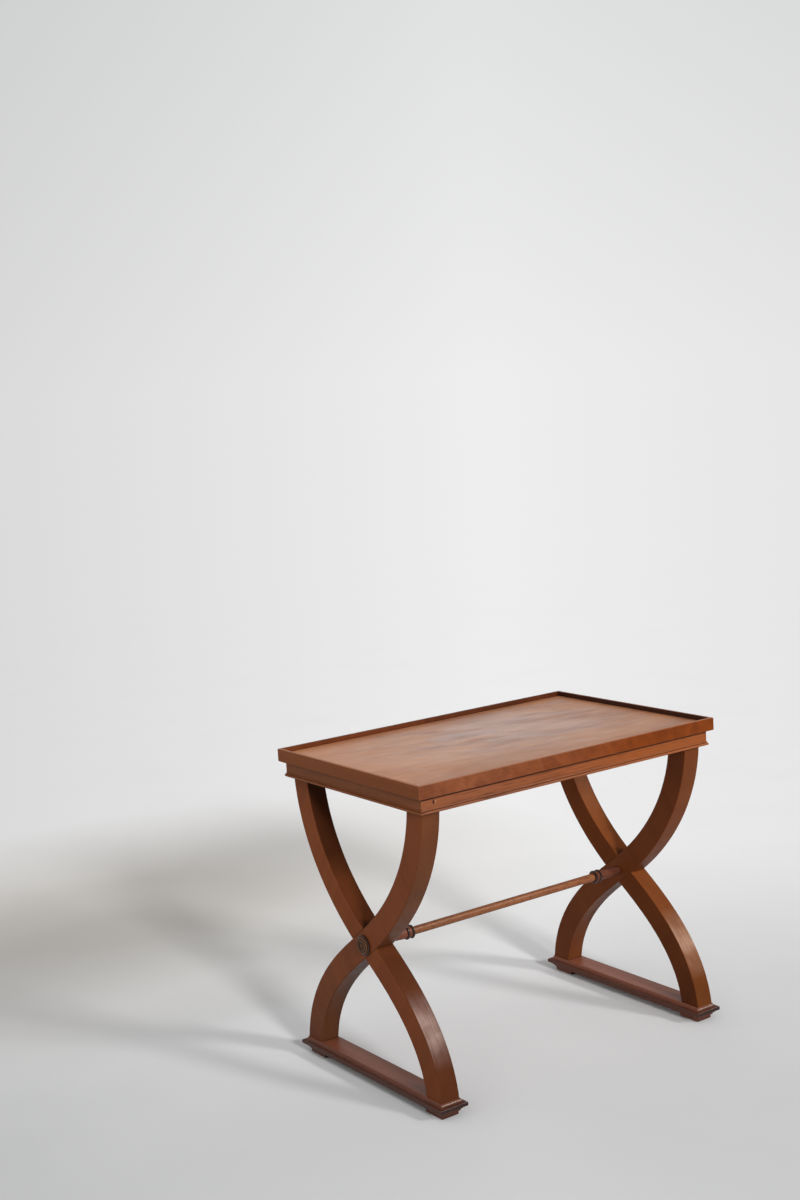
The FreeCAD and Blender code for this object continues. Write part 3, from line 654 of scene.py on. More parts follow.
class TRAYTABLE_OT_tray(bpy.types.Operator):
    """Finish the tray's board and make its four mitred edgings"""

    bl_idname = "tray_table.tray"
    bl_label = "Tray"

    def execute(self, context):
        tones = finishes()
        board = Look(drift_scale=14, drift_draw=0.3, streaks=0.14, fleck=0.6, roughness=0.4, gloss=0.5, wax=0.4,
                     paint=self.smears)
        set_material(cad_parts["tray_panel"], wood("tray_board", tones.board_light, tones.board_dark, board))
        looks = {
            "front": Look(figure=0.5, streaks=0.12, figure_scale=42, tint=(1.1, 1.13, 1.2), gloss=0.1,
                          paint=self.front_figure),
            "right": Look(figure=0.3, tint=(0.9, 0.85, 0.7), paint=self.dark_inside),
            # The back strip's darker tone is partly painted shade, partly darker wood.
            "back": Look(figure=0.5, tint=(0.66, 0.54, 0.41), paint=self.dark_to_right),
            "left": Look(streaks=0.3, drift_scale=9, tint=(1.05, 1.0, 0.67), gloss=0.1, paint=self.pale_rim),
        }
        strips = side_strips("tray_lip", board_section, self.worn_rim)
        for index, side in enumerate(SIDES):
            look = looks[side]
            look.turn = GRAIN[side]
            look.seed = 0.37 * index
            material = wood(f"edging_wood_{side}", tones.edging_light, tones.edging_dark, look)
            piece = copy_to_side(strips[side], "edging", side)
            finish_piece(piece, material, "tray", "tray_edging", f"tray_lip_{side}")
        discard(*strips.values())
        return {"FINISHED"}

    def worn_rim(self, piece, outer, inner, base, top):
        """Rounds the upper outer arris more than the others."""
        def upper_outer(edge):
            corner = edge.verts[0].co
            return lengthwise(edge) and corner.z > top - WELD and corner.y < -outer + WELD

        def others(edge):
            corner = edge.verts[0].co
            return lengthwise(edge) and (corner.z < base + WELD or corner.y > -inner - WELD)

        bevel_edges(piece, sizes().rim_round, RIM_SEGMENTS, upper_outer)
        bevel_edges(piece, sizes().edge_round, ARRIS_SEGMENTS, others)

    def dark_inside(self, finish, place, surface):
        """Darker inner face of the right strip: partly painted shade, partly darker wood."""
        return finish.tinted(finish.stretch(finish.facing("X"), -0.3, -0.7), surface, (0.3, 0.28, 0.38))

    def dark_to_right(self, finish, place, surface):
        # Darker to the right: partly painted shade, partly darker wood.
        return changed_to_right(finish, place, surface, (0.6, 0.58, 0.56))

    def pale_rim(self, finish, place, surface):
        """The upper face of the edging, as pale as the board."""
        upward = finish.stretch(finish.facing("Z"), 0.6, 0.9)
        return finish.mix(upward, surface, finishes().board_dark)

    def front_figure(self, finish, place, surface):
        # Darker and redder towards the right; the paler, greyer left is partly a painted sheen.
        surface = changed_to_right(finish, place, surface, (0.82, 0.55, 0.16))
        return self.pale_rim(finish, place, surface)

    def smears(self, finish, place, surface):
        """Short dark smears and a polished patch in the middle of the board, and paler wood at its left."""
        tones = finishes()
        middle = spot(finish, place, centre=(0.03, 0.05, 0.57), radii=(0.37, 0.24, 0.1), inner=0.35)
        bleached = spot(finish, place, centre=(-0.27, 0.06, 0.57), radii=(0.34, 0.28, 0.1), inner=0.3)
        drawn = finish.mapped(finish.mapped(place, turn=(0, 0, 0.26)), scale=(0.34, 1, 1))
        smear = finish.noise(drawn, scale=32, detail=6, roughness=0.66, distortion=0.5)
        smear = finish.times(finish.stretch(smear, 0.44, 0.66), middle)
        haze = finish.stretch(finish.noise(drawn, scale=16, distortion=0.8), 0.36, 0.6, 0.25, 0.95)
        finish.shade(Coat_Weight=finish.times(haze, middle), Coat_Roughness=0.3)
        surface = finish.mix(finish.times(bleached, 0.25), surface, toned(tones.board_light, 1.5))
        return finish.mix(finish.times(smear, 0.7), surface, toned(tones.board_dark, (0.66, 0.64, 0.86)))


class TRAYTABLE_OT_top_frame(bpy.types.Operator):
    """Make the mitred aprons and the mouldings under them"""

    bl_idname = "tray_table.top_frame"
    bl_label = "Top frame"

    def execute(self, context):
        tones = finishes()
        boards = side_strips("apron", board_section, self.eased)
        mouldings = side_strips("apron_moulding", self.section)
        for index, side in enumerate(SIDES):
            look = Look(turn=GRAIN[side], seed=1.1 + 0.53 * index, streaks=0.45, fleck=0.4, wax=0.9, wear=0.15,
                        paint=self.front_marks if side == "front" else self.dark_line)
            if side == "left":
                look.tint = (0.87, 0.77, 0.48)
            material = wood(f"apron_wood_{side}", tones.apron_light, tones.apron_dark, look)
            board = copy_to_side(boards[side], "apron_board", side)
            finish_piece(board, material, "stand", "apron_wood", f"apron_{side}")
            moulding = copy_to_side(mouldings[side], "bead_moulding", side)
            finish_piece(moulding, material, "stand", "apron_wood", f"apron_moulding_{side}")
        discard(*boards.values(), *mouldings.values())
        return {"FINISHED"}

    def eased(self, piece, *measures):
        bevel_edges(piece, sizes().edge_round, ARRIS_SEGMENTS, lengthwise)

    def dark_line(self, finish, place, surface, depth=0.35):
        """A painted shadow line under the tray's overhang, where the tray lies on the frame."""
        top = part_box("apron_front")[1].z
        levels = [top - below for below in SHADOW_LINE_DEPTHS]
        under = finish.stretch(finish.along(place, "Z"), *levels, 0, depth)
        under = finish.times(under, finish.stretch(finish.facing("Z"), 0.7, 0.3))
        return finish.mix(under, surface, DARK_GRAIN_AND_SHADOW)

    def front_marks(self, finish, place, surface):
        """Broken dark lines in the grain, and a small dark knot with a pale fleck near the left corner."""
        # Redder and less grey towards the right; the greyer left is partly a painted sheen.
        surface = changed_to_right(finish, place, surface, (1.12, 0.94, 0.55))
        drawn = finish.mapped(place, scale=(0.03, 0.03, 1))
        lines = finish.noise(drawn, scale=330, detail=2, distortion=0.1)
        lines = finish.stretch(lines, 0.55, 0.65, 0, 0.75)
        lines = finish.times(lines, finish.stretch(finish.along(place, "X"), 0.05, -0.2, 0.15, 1))
        surface = finish.mix(lines, surface, DARK_GRAIN_AND_SHADOW)
        # A painted shadow line under the tray.
        surface = self.dark_line(finish, place, surface, 0.88)
        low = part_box("apron_front")[0]
        knot = Vector((low.x + KNOT_INSET, low.y, middle_of("apron_front").z))
        dark = spot(finish, place, centre=knot, radii=(0.0029, 0.01, 0.0052), inner=0.4)
        surface = finish.mix(finish.times(dark, 0.95), surface, DARK_KNOT)
        fleck = spot(finish, place, centre=knot + X_AXIS * KNOT_TO_FLECK, radii=(0.0014, 0.01, 0.002))
        return finish.mix(finish.times(fleck, 0.4), surface, PALE_FLECK)

    def section(self, side, outer, inner, base, top):
        """Cove from the apron's face, fillet, quirk and bead, from the top outside down."""
        size = sizes()
        face = side_measures(f"apron_{side}", side)[1]
        fillet = face + size.moulding_cove
        quirk = fillet - size.moulding_quirk_depth
        bead_top = base + 2 * size.moulding_bead
        return [
            (face, top),
            (fillet, top - size.moulding_cove, fillet, top, QUARTER_TURN),
            (fillet, bead_top + size.moulding_quirk_height),
            (quirk, bead_top + size.moulding_quirk_height),
            (quirk, bead_top),
            (quirk, base, quirk, base + size.moulding_bead, -HALF_TURN),
            (inner, base),
            (inner, top),
            (face, top),
        ]


@dataclass
class LegFinish:
    """One leg's tone, darker on the right legs as painted shade; the painted shade and sheen on its curved sides;
    its shine; the painted shade and floor dirt on its foot; the painted shadow on its head's sides; and its
    glossier polish with a painted highlight.
    """

    tone: float
    sides: tuple
    gloss: float
    waxed: float = 0.3
    polish: float = 0.0
    dark_head: float = 0.0

    def marks(self, finish, place, surface):
        """Painted shade and floor dirt on the foot, a painted shadow on the sides of the head, and a streaky polish
        on the curved side below, with a painted highlight.
        """
        height = finish.along(place, "Z")
        # Darker towards the foot: painted shade, with floor dirt.
        surface = finish.mix(finish.stretch(height, *FOOT_SHADE_AND_DIRT, 0, self.waxed), surface, LEG_SHADE_AND_DIRT)
        if not self.polish:
            return surface
        curved = finish.stretch(finish.math("ABSOLUTE", finish.facing("X")), 0.5, 0.2)
        # Painted shadow of the tray on the head's curved sides.
        head = finish.times(curved, finish.stretch(height, *HEAD_SHADOW, 0, self.dark_head))
        surface = finish.mix(head, surface, LEG_SHADE_AND_DIRT)
        band = finish.times(finish.stretch(height, *HIGHLIGHT_BASE), finish.stretch(height, *HIGHLIGHT_TOP))
        streaks = finish.noise(finish.mapped(place, scale=(1, 0.05, 0.05)), STREAK_SCALE, roughness=0.6)
        streaks = finish.stretch(streaks, 0.36, 0.66, 0.5, 1)
        patches = finish.noise(place, scale=26, detail=2, distortion=0.5)
        patches = finish.stretch(patches, 0.35, 0.62, 0.45, 1)
        lightened = finish.times(finish.times(band, curved), finish.times(streaks, patches))
        # A glossier coat on the streaky band, and a painted highlight mixed into the colour.
        finish.shade(Coat_Weight=finish.times(lightened, self.polish), Coat_Roughness=0.36)
        return finish.mix(finish.times(lightened, self.polish * 1.3), surface, LEG_HIGHLIGHT)


# The right legs' lower tone is painted shade; the side tints are painted shade and sheen.
LEG_FINISHES = {
    "leg_left_back_foot": LegFinish(tone=0.85, sides=(0.59, 0.75, 1.07), gloss=0.09, waxed=0.4),
    "leg_left_front_foot": LegFinish(
        tone=0.87, sides=(0.43, 0.46, 0.57), gloss=0.06, polish=0.34, dark_head=0.45
    ),
    "leg_right_back_foot": LegFinish(tone=0.7, sides=(0.88, 0.95, 1.12), gloss=0.06, waxed=0.2),
    "leg_right_front_foot": LegFinish(tone=0.68, sides=(1.14, 1.22, 1.12), gloss=0.03, waxed=0.48, polish=0.15),
}


class TRAYTABLE_OT_legs(bpy.types.Operator):
    """Make the four S-curved legs, halved into each other at the crossings"""

    bl_idname = "tray_table.legs"
    bl_label = "Legs"

    def execute(self, context):
        tones = finishes()
        size = sizes()
        low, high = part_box("leg_left_back_foot")
        depth = high.x - low.x
        middle = (high.x + low.x) / 2
        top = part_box("apron_moulding_front")[0].z
        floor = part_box("foot_rail_left")[1].z
        head = -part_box("apron_front")[0].y - size.head_inset - size.leg_width / 2
        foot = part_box("foot_rail_left")[1].y - size.foot_inset - size.leg_width / 2
        curve = self.curve(head, top, foot, floor)
        leg = prism("leg_model", curve, lambda y, z: Vector((0, y, z)), X_AXIS * depth)
        bevel_edges(leg, size.leg_round, RIM_SEGMENTS, lambda edge: self.long_edge(edge, floor, top))
        cutter = prism("halving", curve, lambda y, z: Vector((depth, -y, z)), X_AXIS * 2 * depth)
        combine(leg, cutter, "DIFFERENCE")
        smooth(leg)
        tilt = math.atan2(head + foot, top - floor)
        for end, end_sign in ENDS.items():
            for foot_side, foot_sign, turn in (("back", 1, 0), ("front", -1, HALF_TURN)):
                name = f"leg_{end}_{foot_side}_foot"
                place = Matrix.Translation((-end_sign * middle, 0, 0)) @ Matrix.Rotation(turn, 4, "Z")
                piece = copy_of(leg, f"curved_{name}", place)
                own = LEG_FINISHES[name]
                look = Look(
                    turn=(foot_sign * tilt, QUARTER_TURN, 0), seed=2.3 + 0.71 * end_sign + 0.29 * foot_sign,
                    tint=(own.tone, own.tone, own.tone), sides=own.sides, gloss=own.gloss, relief=0.2,
                    roughness=0.4, wear=0.08, paint=own.marks
                )
                material = wood(f"wood_{name}", tones.leg_light, tones.leg_dark, look)
                finish_piece(piece, material, "stand", "leg_wood", name)
        discard(leg)
        return {"FINISHED"}

    def long_edge(self, edge, floor, top):
        """True along the four long edges of the leg."""
        flat = abs(edge.verts[0].co.x - edge.verts[1].co.x) < WELD
        ends = [all(abs(vertex.co.z - level) < WELD for vertex in edge.verts) for level in (floor, top)]
        return flat and not any(ends)

    def bend(self, run, rise, lean):
        """Half a leg's middle line from the crossing to one end, as steps of (run, rise, slope).

        The slope starts at the crossing's and grows faster and faster; how fast is found by halving.
        """
        first = sizes().crossing_angle
        last = QUARTER_TURN - lean

        def walk(evenness):
            steps = [(0.0, 0.0, first)]
            for step in range(LEG_STEPS):
                share = (step + 0.5) / LEG_STEPS
                slope = first + (last - first) * (evenness * share + (1 - evenness) * share * share)
                steps.append((steps[-1][0] + math.cos(slope), steps[-1][1] + math.sin(slope), slope))
            return steps

        slow, fast = -1.0, 2.0
        for _ in range(LEG_HALVINGS):
            evenness = (slow + fast) / 2
            across, up = walk(evenness)[-1][:2]
            if up / across < rise / run:
                slow = evenness
            else:
                fast = evenness
        steps = walk(slow)
        scale = run / steps[-1][0]
        return [(across * scale, up * scale, slope) for across, up, slope in steps]

    def curve(self, head, top, foot, floor):
        """The S of a leg with its head towards -Y: up its inner edge from the foot, and down its outer one."""
        size = sizes()
        crossing = size.crossing_height
        upper = [(-run, crossing + rise, slope) for run, rise, slope in
                 self.bend(head, top - crossing, size.head_lean)]
        lower = [(run, crossing - rise, slope) for run, rise, slope in
                 self.bend(foot, crossing - floor, size.foot_lean)]
        line = lower[:0:-1] + upper
        edges = []
        for side in (-1, 1):
            offset = side * size.leg_width / 2
            edge = [(y + offset * math.sin(slope), z + offset * math.cos(slope)) for y, z, slope in line]
            edges.append(self.between(edge, floor, top))
        return edges[0] + edges[1][::-1] + edges[0][:1]

    def between(self, edge, floor, top):
        """An edge line cut or drawn out to the floor rail's and the apron's levels."""
        inside = [point for point in edge if floor + WELD < point[1] < top - WELD]

        def reach(inner, outer, level):
            share = (level - inner[1]) / (outer[1] - inner[1])
            return inner[0] + share * (outer[0] - inner[0]), level

        return [reach(inside[1], inside[0], floor), *inside, reach(inside[-2], inside[-1], top)]


RAIL_TONES = {"left": 0.75, "right": 1.15}


class TRAYTABLE_OT_foot_rails(bpy.types.Operator):
    """Make the moulded foot rails and the pads under them"""

    bl_idname = "tray_table.foot_rails"
    bl_label = "Foot rails"

    def execute(self, context):
        tones = finishes()
        rail = self.rail()
        pad = self.pad()
        for end, sign in ENDS.items():
            tone = RAIL_TONES[end]
            look = Look(turn=ALONG_Y, seed=4.2 + sign, tint=(tone, tone, tone), gloss=0.25, wax=0.25, wear=0.12,
                        paint=self.dark_mouldings)
            material = wood(f"rail_wood_{end}", tones.rail_light, tones.rail_dark, look)
            pieces = [(rail, f"moulded_rail_{end}", f"foot_rail_{end}")]
            pieces += [(pad, f"pad_{end}_{side}", f"foot_pad_{end}_{side}") for side in LONG_SIDES]
            for model, name, node in pieces:
                piece = copy_of(model, name, Matrix.Translation(middle_of(node)))
                finish_piece(piece, material, "stand", "rail_wood", node)
        discard(rail, pad)
        return {"FINISHED"}

    def rail(self):
        """A rail about its middle: its section along Y, kept where it meets the section of its ends."""
        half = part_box("foot_rail_left")[1] - middle_of("foot_rail_left")
        rail = prism("rail_model", self.section(half.x, half.z), lambda out, up: Vector((out, 0, up)),
                     Y_AXIS * 2 * half.y)
        across = prism("rail_ends", self.section(half.y, half.z), lambda out, up: Vector((0, out, up)),
                       X_AXIS * 4 * half.x)
        combine(rail, across, "INTERSECT")
        soften(rail, sizes().edge_round / 2)
        smooth(rail)
        return rail

    def pad(self):
        """A pad about its middle, chamfered below."""
        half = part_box("foot_pad_left_front")[1] - middle_of("foot_pad_left_front")
        deselect()
        bpy.ops.mesh.primitive_cube_add(size=2, scale=half)
        pad = new_piece("pad_model")
        bevel_edges(pad, sizes().pad_chamfer, 1, lambda edge: all(
            vertex.co.z < WELD - half.z for vertex in edge.verts))
        soften(pad, sizes().edge_round / 2)
        smooth(pad)
        return pad

    def dark_mouldings(self, finish, place, surface):
        """Painted shade, partly dark stain, below the rail's top: most on the nose, less on the steps under it, and
        more on the ends, where the cove is polished.
        """
        size = sizes()
        low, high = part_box("foot_rail_left")
        nose_base = low.z + 2 * size.rail_step_height
        nose_top = nose_base + 2 * size.rail_nose
        height = finish.along(place, "Z")
        along = finish.facing("Y")
        waxed = finish.stretch(height, high.z, nose_top - size.rail_fillet, 0, 0.7)
        lightened = finish.stretch(height, nose_base + size.rail_fillet, nose_base - size.rail_fillet, 0, 0.28)
        ends = finish.stretch(finish.math("ABSOLUTE", along), 0.3, 0.7, 0, 0.38)
        cove = finish.stretch(height, nose_top, nose_top + size.rail_fillet)
        cove = finish.times(cove, finish.stretch(along, -0.2, -0.5))
        finish.shade(Coat_Weight=finish.times(cove, 0.25), Coat_Roughness=0.35)
        waxed = finish.plus(finish.math("SUBTRACT", waxed, lightened), ends, clamp=True)
        return finish.mix(waxed, surface, RAIL_SHADE_AND_STAIN)

    def section(self, half, top):
        """One moulded edge down, with cove, fillet, nose and two steps going in, and its mirror image up."""
        size = sizes()
        nose = half - size.rail_nose
        ease = size.rail_nose_round
        first = nose - size.rail_step_depth
        second = first - size.rail_step_depth
        step = size.rail_step_height - top
        nose_base = step + size.rail_step_height
        nose_top = nose_base + 2 * size.rail_nose
        edge = [
            (nose - size.rail_cove, top),
            (nose, top - size.rail_cove, nose, top, QUARTER_TURN),
            (nose, nose_top),
            (half - ease, nose_top),
            (half, nose_top - ease, half - ease, nose_top - ease, -QUARTER_TURN),
            (half, nose_base + ease),
            (half - ease, nose_base, half - ease, nose_base + ease, -QUARTER_TURN),
            (first, nose_base),
            (first, step),
            (second, step),
            (second, -top),
        ]
        other = [(-second, -top)]
        for before, point in zip(edge[-2::-1], edge[:0:-1]):
            arc = (-point[2], *point[3:]) if len(point) > 2 else ()
            other.append((-before[0], before[1], *arc))
        return edge + other + edge[:1]


def end_copies(model, name):
    """Copies of a turned model of the right end for both ends of the stretcher, and takes the model away."""
    for end, turn in (("left", HALF_TURN), ("right", 0)):
        yield end, copy_of(model, f"{name}_{end}", Matrix.Rotation(turn, 4, "Z"))
    discard(model)


def ebonised():
    """The dark stain of the beads, one material for all of them."""
    made = bpy.data.materials.get("ebonised")
    if made:
        return made
    tone = finishes().black_bead
    return wood("ebonised", toned(tone, 2.0), tone, Look(roughness=0.3, gloss=0.4, wear=0.1))


def blacken(piece, radius):
    """Ebonises a turned piece's faces that stand out past a radius."""
    piece.data.materials.append(ebonised())
    axis = middle_of("stretcher_rod").z
    for face in piece.data.polygons:
        face.material_index = int(math.hypot(face.center.y, face.center.z - axis) > radius)


class TRAYTABLE_OT_stretcher(bpy.types.Operator):
    """Turn the stretcher's rod and its two sockets with black beads"""

    bl_idname = "tray_table.stretcher"
    bl_label = "Stretcher"

    def execute(self, context):
        tones = finishes()
        size = sizes()
        axis = middle_of("stretcher_rod").z
        leg_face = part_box("leg_right_back_foot")[0].x
        mouth = leg_face - size.socket_taper - 4 * size.socket_bead - size.socket_band
        radius = size.rod_radius
        rod = turned("turned_rod", [(-mouth, 0), (-mouth, radius), (mouth, radius), (mouth, 0)],
                     lambda along, out: Vector((along, 0, axis + out)))
        flecked = Look(seed=6.4, fleck=0.5, figure=0.2, paint=self.dark_flecks)
        rod_wood = wood("rod_wood", tones.rod_light, tones.rod_dark, flecked)
        finish_piece(rod, rod_wood, "stand", "rod_wood", "stretcher_rod")
        dark_wood = wood("socket_wood", tones.turned_light, tones.turned_dark, Look(seed=7.7))
        socket = turned("socket_model", self.section(),
                        lambda along, out: Vector((leg_face - along, 0, axis + out)))
        for end, piece in end_copies(socket, "turned_socket"):
            finish_piece(piece, dark_wood, "stand", "turned_wood", f"stretcher_socket_{end}")
            blacken(piece, size.socket_shoulder + size.socket_bead / 20)
        return {"FINISHED"}

    def dark_flecks(self, finish, place, surface):
        """Short dark flecks, on wood that is paler to the right."""
        surface = changed_to_right(finish, place, surface, (1.4, 1.36, 1.32))
        drawn = finish.mapped(place, scale=(0.25, 1, 1))
        flecks = finish.noise(drawn, scale=420, detail=2)
        flecks = finish.stretch(flecks, 0.55, 0.64, 0, 0.6)
        return finish.mix(flecks, surface, toned(finishes().rod_dark, (0.5, 0.4, 0.4)))

    def section(self):
        """From the leg outwards: neck, taper, bead, band, bead and the end round the rod."""
        size = sizes()
        shoulder = size.socket_shoulder
        bead = size.socket_bead
        first = size.socket_taper
        band = first + 2 * bead
        second = band + size.socket_band
        return [
            (0, 0),
            (0, size.socket_neck),
            (first, shoulder),
            (band, shoulder, first + bead, shoulder, -HALF_TURN),
            (second, shoulder),
            (second + 2 * bead, shoulder, second + bead, shoulder, -HALF_TURN),
            (second + 2 * bead, 0),
        ]


class TRAYTABLE_OT_rosettes(bpy.types.Operator):
    """Turn the rosettes on the crossings"""

    bl_idname = "tray_table.rosettes"
    bl_label = "Rosettes"

    def execute(self, context):
        tones = finishes()
        axis = middle_of("stretcher_rod").z
        leg_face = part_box("leg_right_back_foot")[1].x
        radius = (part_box("rosette_right")[1].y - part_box("rosette_right")[0].y) / 2
        look = Look(turn=ALONG_Z, seed=8.8, wax=0.9, paint=self.dark_grooves)
        material = wood("rosette_wood", tones.rosette_light, tones.rosette_dark, look)
        rosette = turned("rosette_model", self.section(radius),
                         lambda along, out: Vector((leg_face + along, 0, axis + out)))
        for end, piece in end_copies(rosette, "turned_rosette"):
            finish_piece(piece, material, "stand", "turned_wood", f"rosette_{end}")
            blacken(piece, sizes().rosette_top)
        return {"FINISHED"}

    def dark_grooves(self, finish, place, surface):
        """Painted shade in the grooves round the button and the ring."""
        size = sizes()
        offset = finish.mapped(place, scale=(0, 1, 1), place=(0, 0, -middle_of("stretcher_rod").z))
        reach = finish.vectors("LENGTH", offset)["Value"]
        half = size.rosette_ring_bead
        grooves = (size.rosette_button + half / 2, size.rosette_ring - half, size.rosette_ring + half * 1.5)
        for groove in grooves:
            away = finish.math("ABSOLUTE", finish.math("SUBTRACT", reach, groove))
            waxed = finish.stretch(away, half * 0.7, half * 0.3, 0, 0.8)
            surface = finish.mix(waxed, surface, finishes().black_bead)
        return surface

    def section(self, radius):
        """Two beads up the side, a dished face with a raised ring, and a domed button."""
        size = sizes()
        foot_line = radius - size.rosette_foot_bead
        top_line = size.rosette_top - size.rosette_top_bead
        step = 2 * size.rosette_foot_bead
        face = step + 2 * size.rosette_top_bead
        dish = face - size.rosette_dish
        button = size.rosette_button
        rise = size.rosette_button_height
        dome = (button * button + rise * rise) / (2 * rise)
        return [
            (0, 0),
            (0, foot_line),
            (step, foot_line, size.rosette_foot_bead, foot_line, -HALF_TURN),
            (step, top_line),
            (face, top_line, step + size.rosette_top_bead, top_line, -HALF_TURN),
            (dish, size.rosette_ring + size.rosette_ring_bead),
            (dish, size.rosette_ring - size.rosette_ring_bead, dish, size.rosette_ring, -HALF_TURN),
            (dish, button),
            (dish + rise, 0, dish + rise - dome, 0, -math.asin(button / dome)),
        ]


class TRAYTABLE_OT_inner_wood(bpy.types.Operator):
    """Finish the unseen bearers, battens and blocks"""

    bl_idname = "tray_table.inner_wood"
    bl_label = "Inner wood"

    def execute(self, context):
        tones = finishes()
        look = Look(turn=ALONG_Y, seed=9.1, roughness=0.6, wax=0.3)
        plain = wood("planed_wood", tones.inner_light, tones.inner_dark, look)
        for name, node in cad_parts.items():
            if name.startswith(("bearer_", "tray_batten_", "glue_block_")) and not name.endswith("screws"):
                set_material(node, plain)
        return {"FINISHED"}


class TRAYTABLE_OT_screws(bpy.types.Operator):
    """Finish the screws in plain steel"""

    bl_idname = "tray_table.screws"
    bl_label = "Screws"

    def execute(self, context):
        steel = finishes().steel
        finish = Finish("plain_steel")
        tarnish = finish.stretch(finish.noise(finish.place(), scale=220, detail=4), 0.4, 0.65)
        finish.shade(
            Base_Color=finish.mix(tarnish, steel, toned(steel, 0.6)),
            Roughness=finish.stretch(tarnish, 0, 1, 0.3, 0.5),
            Metallic=1,
        )
        for name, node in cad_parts.items():
            if name.endswith("screws"):
                set_material(node, finish.material)
        return {"FINISHED"}


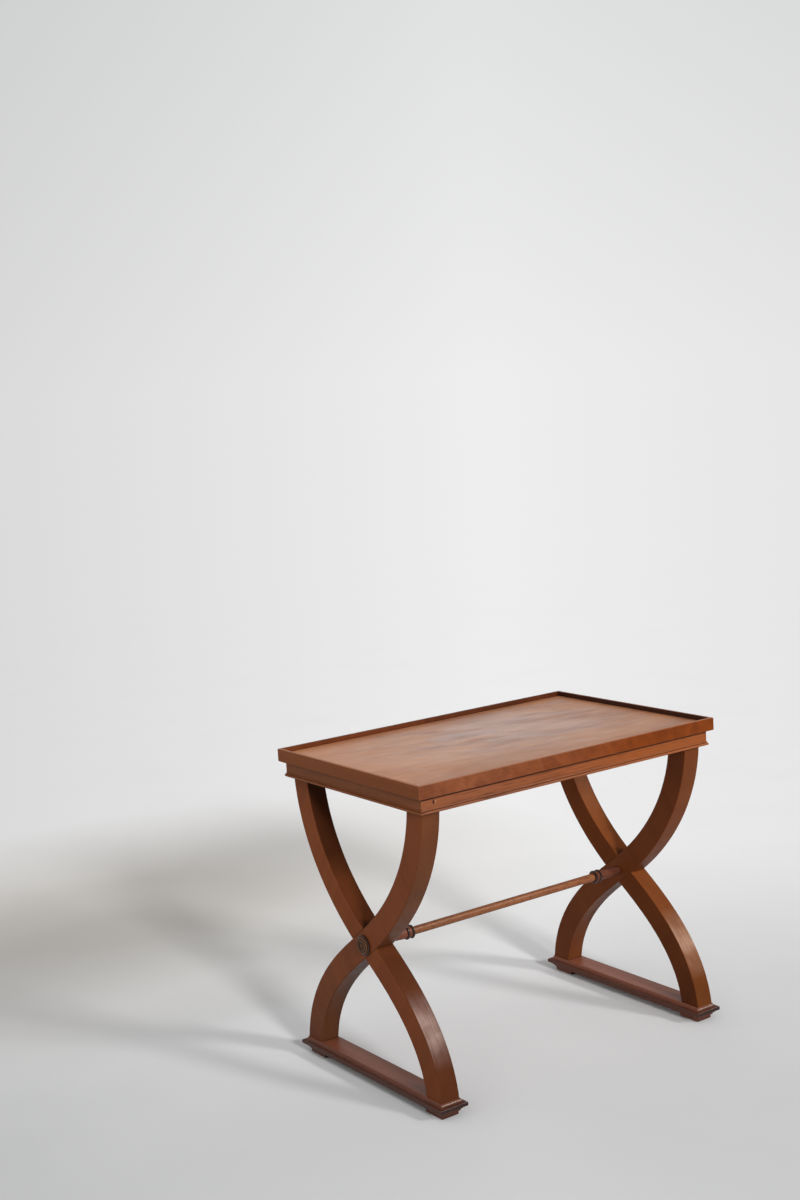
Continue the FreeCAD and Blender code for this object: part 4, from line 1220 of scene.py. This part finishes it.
class TRAYTABLE_OT_stage(bpy.types.Operator):
    """Set up the floor, the lights and the camera"""

    bl_idname = "tray_table.stage"
    bl_label = "Stage"

    def execute(self, context):
        setting = studio()
        context.scene.view_settings.view_transform = "Standard"
        self.floor()
        self.lights()
        self.sky()
        deselect()
        bpy.ops.object.camera_add(location=setting.camera_place, rotation=setting.camera_turn)
        camera = context.object
        camera.data.lens = setting.camera_lens
        camera.data.clip_end = setting.floor_size
        context.scene.camera = camera
        return {"FINISHED"}

    def floor(self):
        """A pale floor with painted light: darker in front and to both sides, paler behind the table; far away it
        glows into the backdrop.
        """
        setting = studio()
        deselect()
        bpy.ops.mesh.primitive_plane_add(size=setting.floor_size)
        floor = bpy.context.object
        floor.name = "floor"
        finish = Finish("pale_floor")
        place = finish.place()
        front = Vector(setting.camera_place)
        # Darker in front and paler behind: painted light in the floor's colour.
        depth = finish.along(finish.mapped(place, turn=(0, 0, -math.atan2(-front.y, -front.x))), "X")
        uneven = finish.stretch(finish.noise(place, scale=3, detail=4), *NOISE_RANGE, -0.06, 0.06)
        depth = finish.plus(finish.stretch(depth, *FLOOR_DEPTHS), uneven, clamp=True)
        sight = finish.vectors("SUBTRACT", place, front)["Vector"]
        # The backdrop's fall-off darkens the floor's colour to both sides: painted shade.
        shade = self.fall_off(finish, finish.vectors("NORMALIZE", sight)["Vector"])
        pale = finish.mix(shade, BLACK, finish.mix(depth, setting.floor_near, setting.floor_far))
        # A painted shadow on the floor behind the table's left end.
        painted_shadow = spot(finish, place, centre=(-0.2, 1.25, 0), radii=(1.3, 0.9, 1), inner=0.25)
        pale = finish.tinted(painted_shadow, pale, setting.floor_grey[:3])
        seen = seen_rays(finish)
        dim = finish.mix(0.4, pale, BLACK)
        finish.shade(Base_Color=finish.mix(seen, dim, pale), Roughness=0.8, Specular_IOR_Level=0.1)
        distance = finish.vectors("LENGTH", place)["Value"]
        away = finish.times(finish.stretch(distance, *FLOOR_FADE), seen)
        glow = finish.node("ShaderNodeEmission", Color=setting.background, Strength=shade)
        finish.blend(away, finish.shader.outputs["BSDF"], glow.outputs["Emission"], "Material Output")
        set_material(floor, finish.material)

    def fall_off(self, finish, sight):
        """The backdrop's brightness, also painted into the floor's colour: it drops to both sides, and the lacquer
        mirrors a dim room in front.
        """
        sides = finish.node(
            "ShaderNodeSeparateXYZ", Vector=finish.mapped(sight, turn=(0, 0, -studio().camera_turn[2]))
        ).outputs
        across = finish.times(finish.stretch(sides["X"], -0.24, 0.04, 0.83, 1),
                              finish.stretch(sides["X"], 0.06, 0.24, 1, 0.93))
        seen = finish.node("ShaderNodeLightPath").outputs["Is Camera Ray"]
        room = finish.math("MAXIMUM", finish.stretch(sides["Y"], -0.3, 0.4, 0.2, 1), seen)
        return finish.times(across, room)

    def lights(self):
        """Two lights that the lacquer doesn't mirror, and a warm one that only the lacquer shows."""
        setting = studio()
        hidden = {"key": "visible_glossy", "soft": "visible_glossy", "window": "visible_diffuse"}
        for name, ray in hidden.items():
            towards = Vector(getattr(setting, f"{name}_direction"))
            deselect()
            bpy.ops.object.light_add(type="SUN", rotation=towards.to_track_quat("Z", "Y").to_euler())
            light = bpy.context.object
            light.name = f"{name}_light"
            light.data.energy = getattr(setting, f"{name}_strength")
            light.data.angle = getattr(setting, f"{name}_width")
            setattr(light, ray, False)
            if name == "window":
                light.data.color = setting.window_tint[:3]

    def sky(self):
        """Even light from all round, behind a plain backdrop."""
        setting = studio()
        sky = Finish("studio_sky", world=True)
        sight = sky.node("ShaderNodeTexCoord").outputs["Generated"]
        sides = sky.node("ShaderNodeSeparateXYZ", Vector=sight).outputs
        light = sky.stretch(sides["Z"], 0.2, 0.8, setting.sky_low, setting.sky_high)
        light = sky.plus(light, sky.stretch(sides["X"], -0.35, -0.95, 0, setting.sky_left))
        light = sky.plus(light, sky.stretch(sides["Y"], 0.35, 0.95, 0, setting.sky_back))
        even = sky.node("ShaderNodeBackground", Color=WHITE, Strength=light)
        tone = sky.mix(sky.stretch(sides["Z"], 0, 0.3), setting.background, setting.background_top)
        backdrop = sky.node("ShaderNodeBackground", Color=tone, Strength=self.fall_off(sky, sight))
        sky.blend(seen_rays(sky), even.outputs["Background"], backdrop.outputs["Background"], "World Output")
        bpy.context.scene.world = sky.material


class TRAYTABLE_PT_sidebar(bpy.types.Panel):
    """Lists the table's operators and settings"""

    bl_label = "Tray table"
    bl_idname = "TRAYTABLE_PT_sidebar"
    bl_space_type = "VIEW_3D"
    bl_region_type = "UI"
    bl_category = "Tray table"

    def draw(self, context):
        for operator in OPERATORS:
            self.layout.operator(operator.bl_idname)
        for name, group in GROUPS.items():
            box = self.layout.box()
            for setting in group.__annotations__:
                box.prop(getattr(context.scene, name), setting)


OPERATORS = (
    TRAYTABLE_OT_tray,
    TRAYTABLE_OT_top_frame,
    TRAYTABLE_OT_legs,
    TRAYTABLE_OT_foot_rails,
    TRAYTABLE_OT_stretcher,
    TRAYTABLE_OT_rosettes,
    TRAYTABLE_OT_inner_wood,
    TRAYTABLE_OT_screws,
    TRAYTABLE_OT_stage,
)
GROUPS = {
    "tray_table_sizes": TrayTableSizes,
    "tray_table_finishes": TrayTableFinishes,
    "tray_table_studio": TrayTableStudio,
}


def register():
    for group in GROUPS.values():
        bpy.utils.register_class(group)
    for name, group in GROUPS.items():
        setattr(bpy.types.Scene, name, PointerProperty(type=group))
    for item in (*OPERATORS, TRAYTABLE_PT_sidebar):
        bpy.utils.register_class(item)


def unregister():
    for item in reversed((*OPERATORS, TRAYTABLE_PT_sidebar)):
        bpy.utils.unregister_class(item)
    for name, group in GROUPS.items():
        delattr(bpy.types.Scene, name)
        bpy.utils.unregister_class(group)


def main():
    register()
    for operator in OPERATORS:
        family, name = operator.bl_idname.split(".")
        getattr(getattr(bpy.ops, family), name)()


if __name__ == "__main__":
    main()
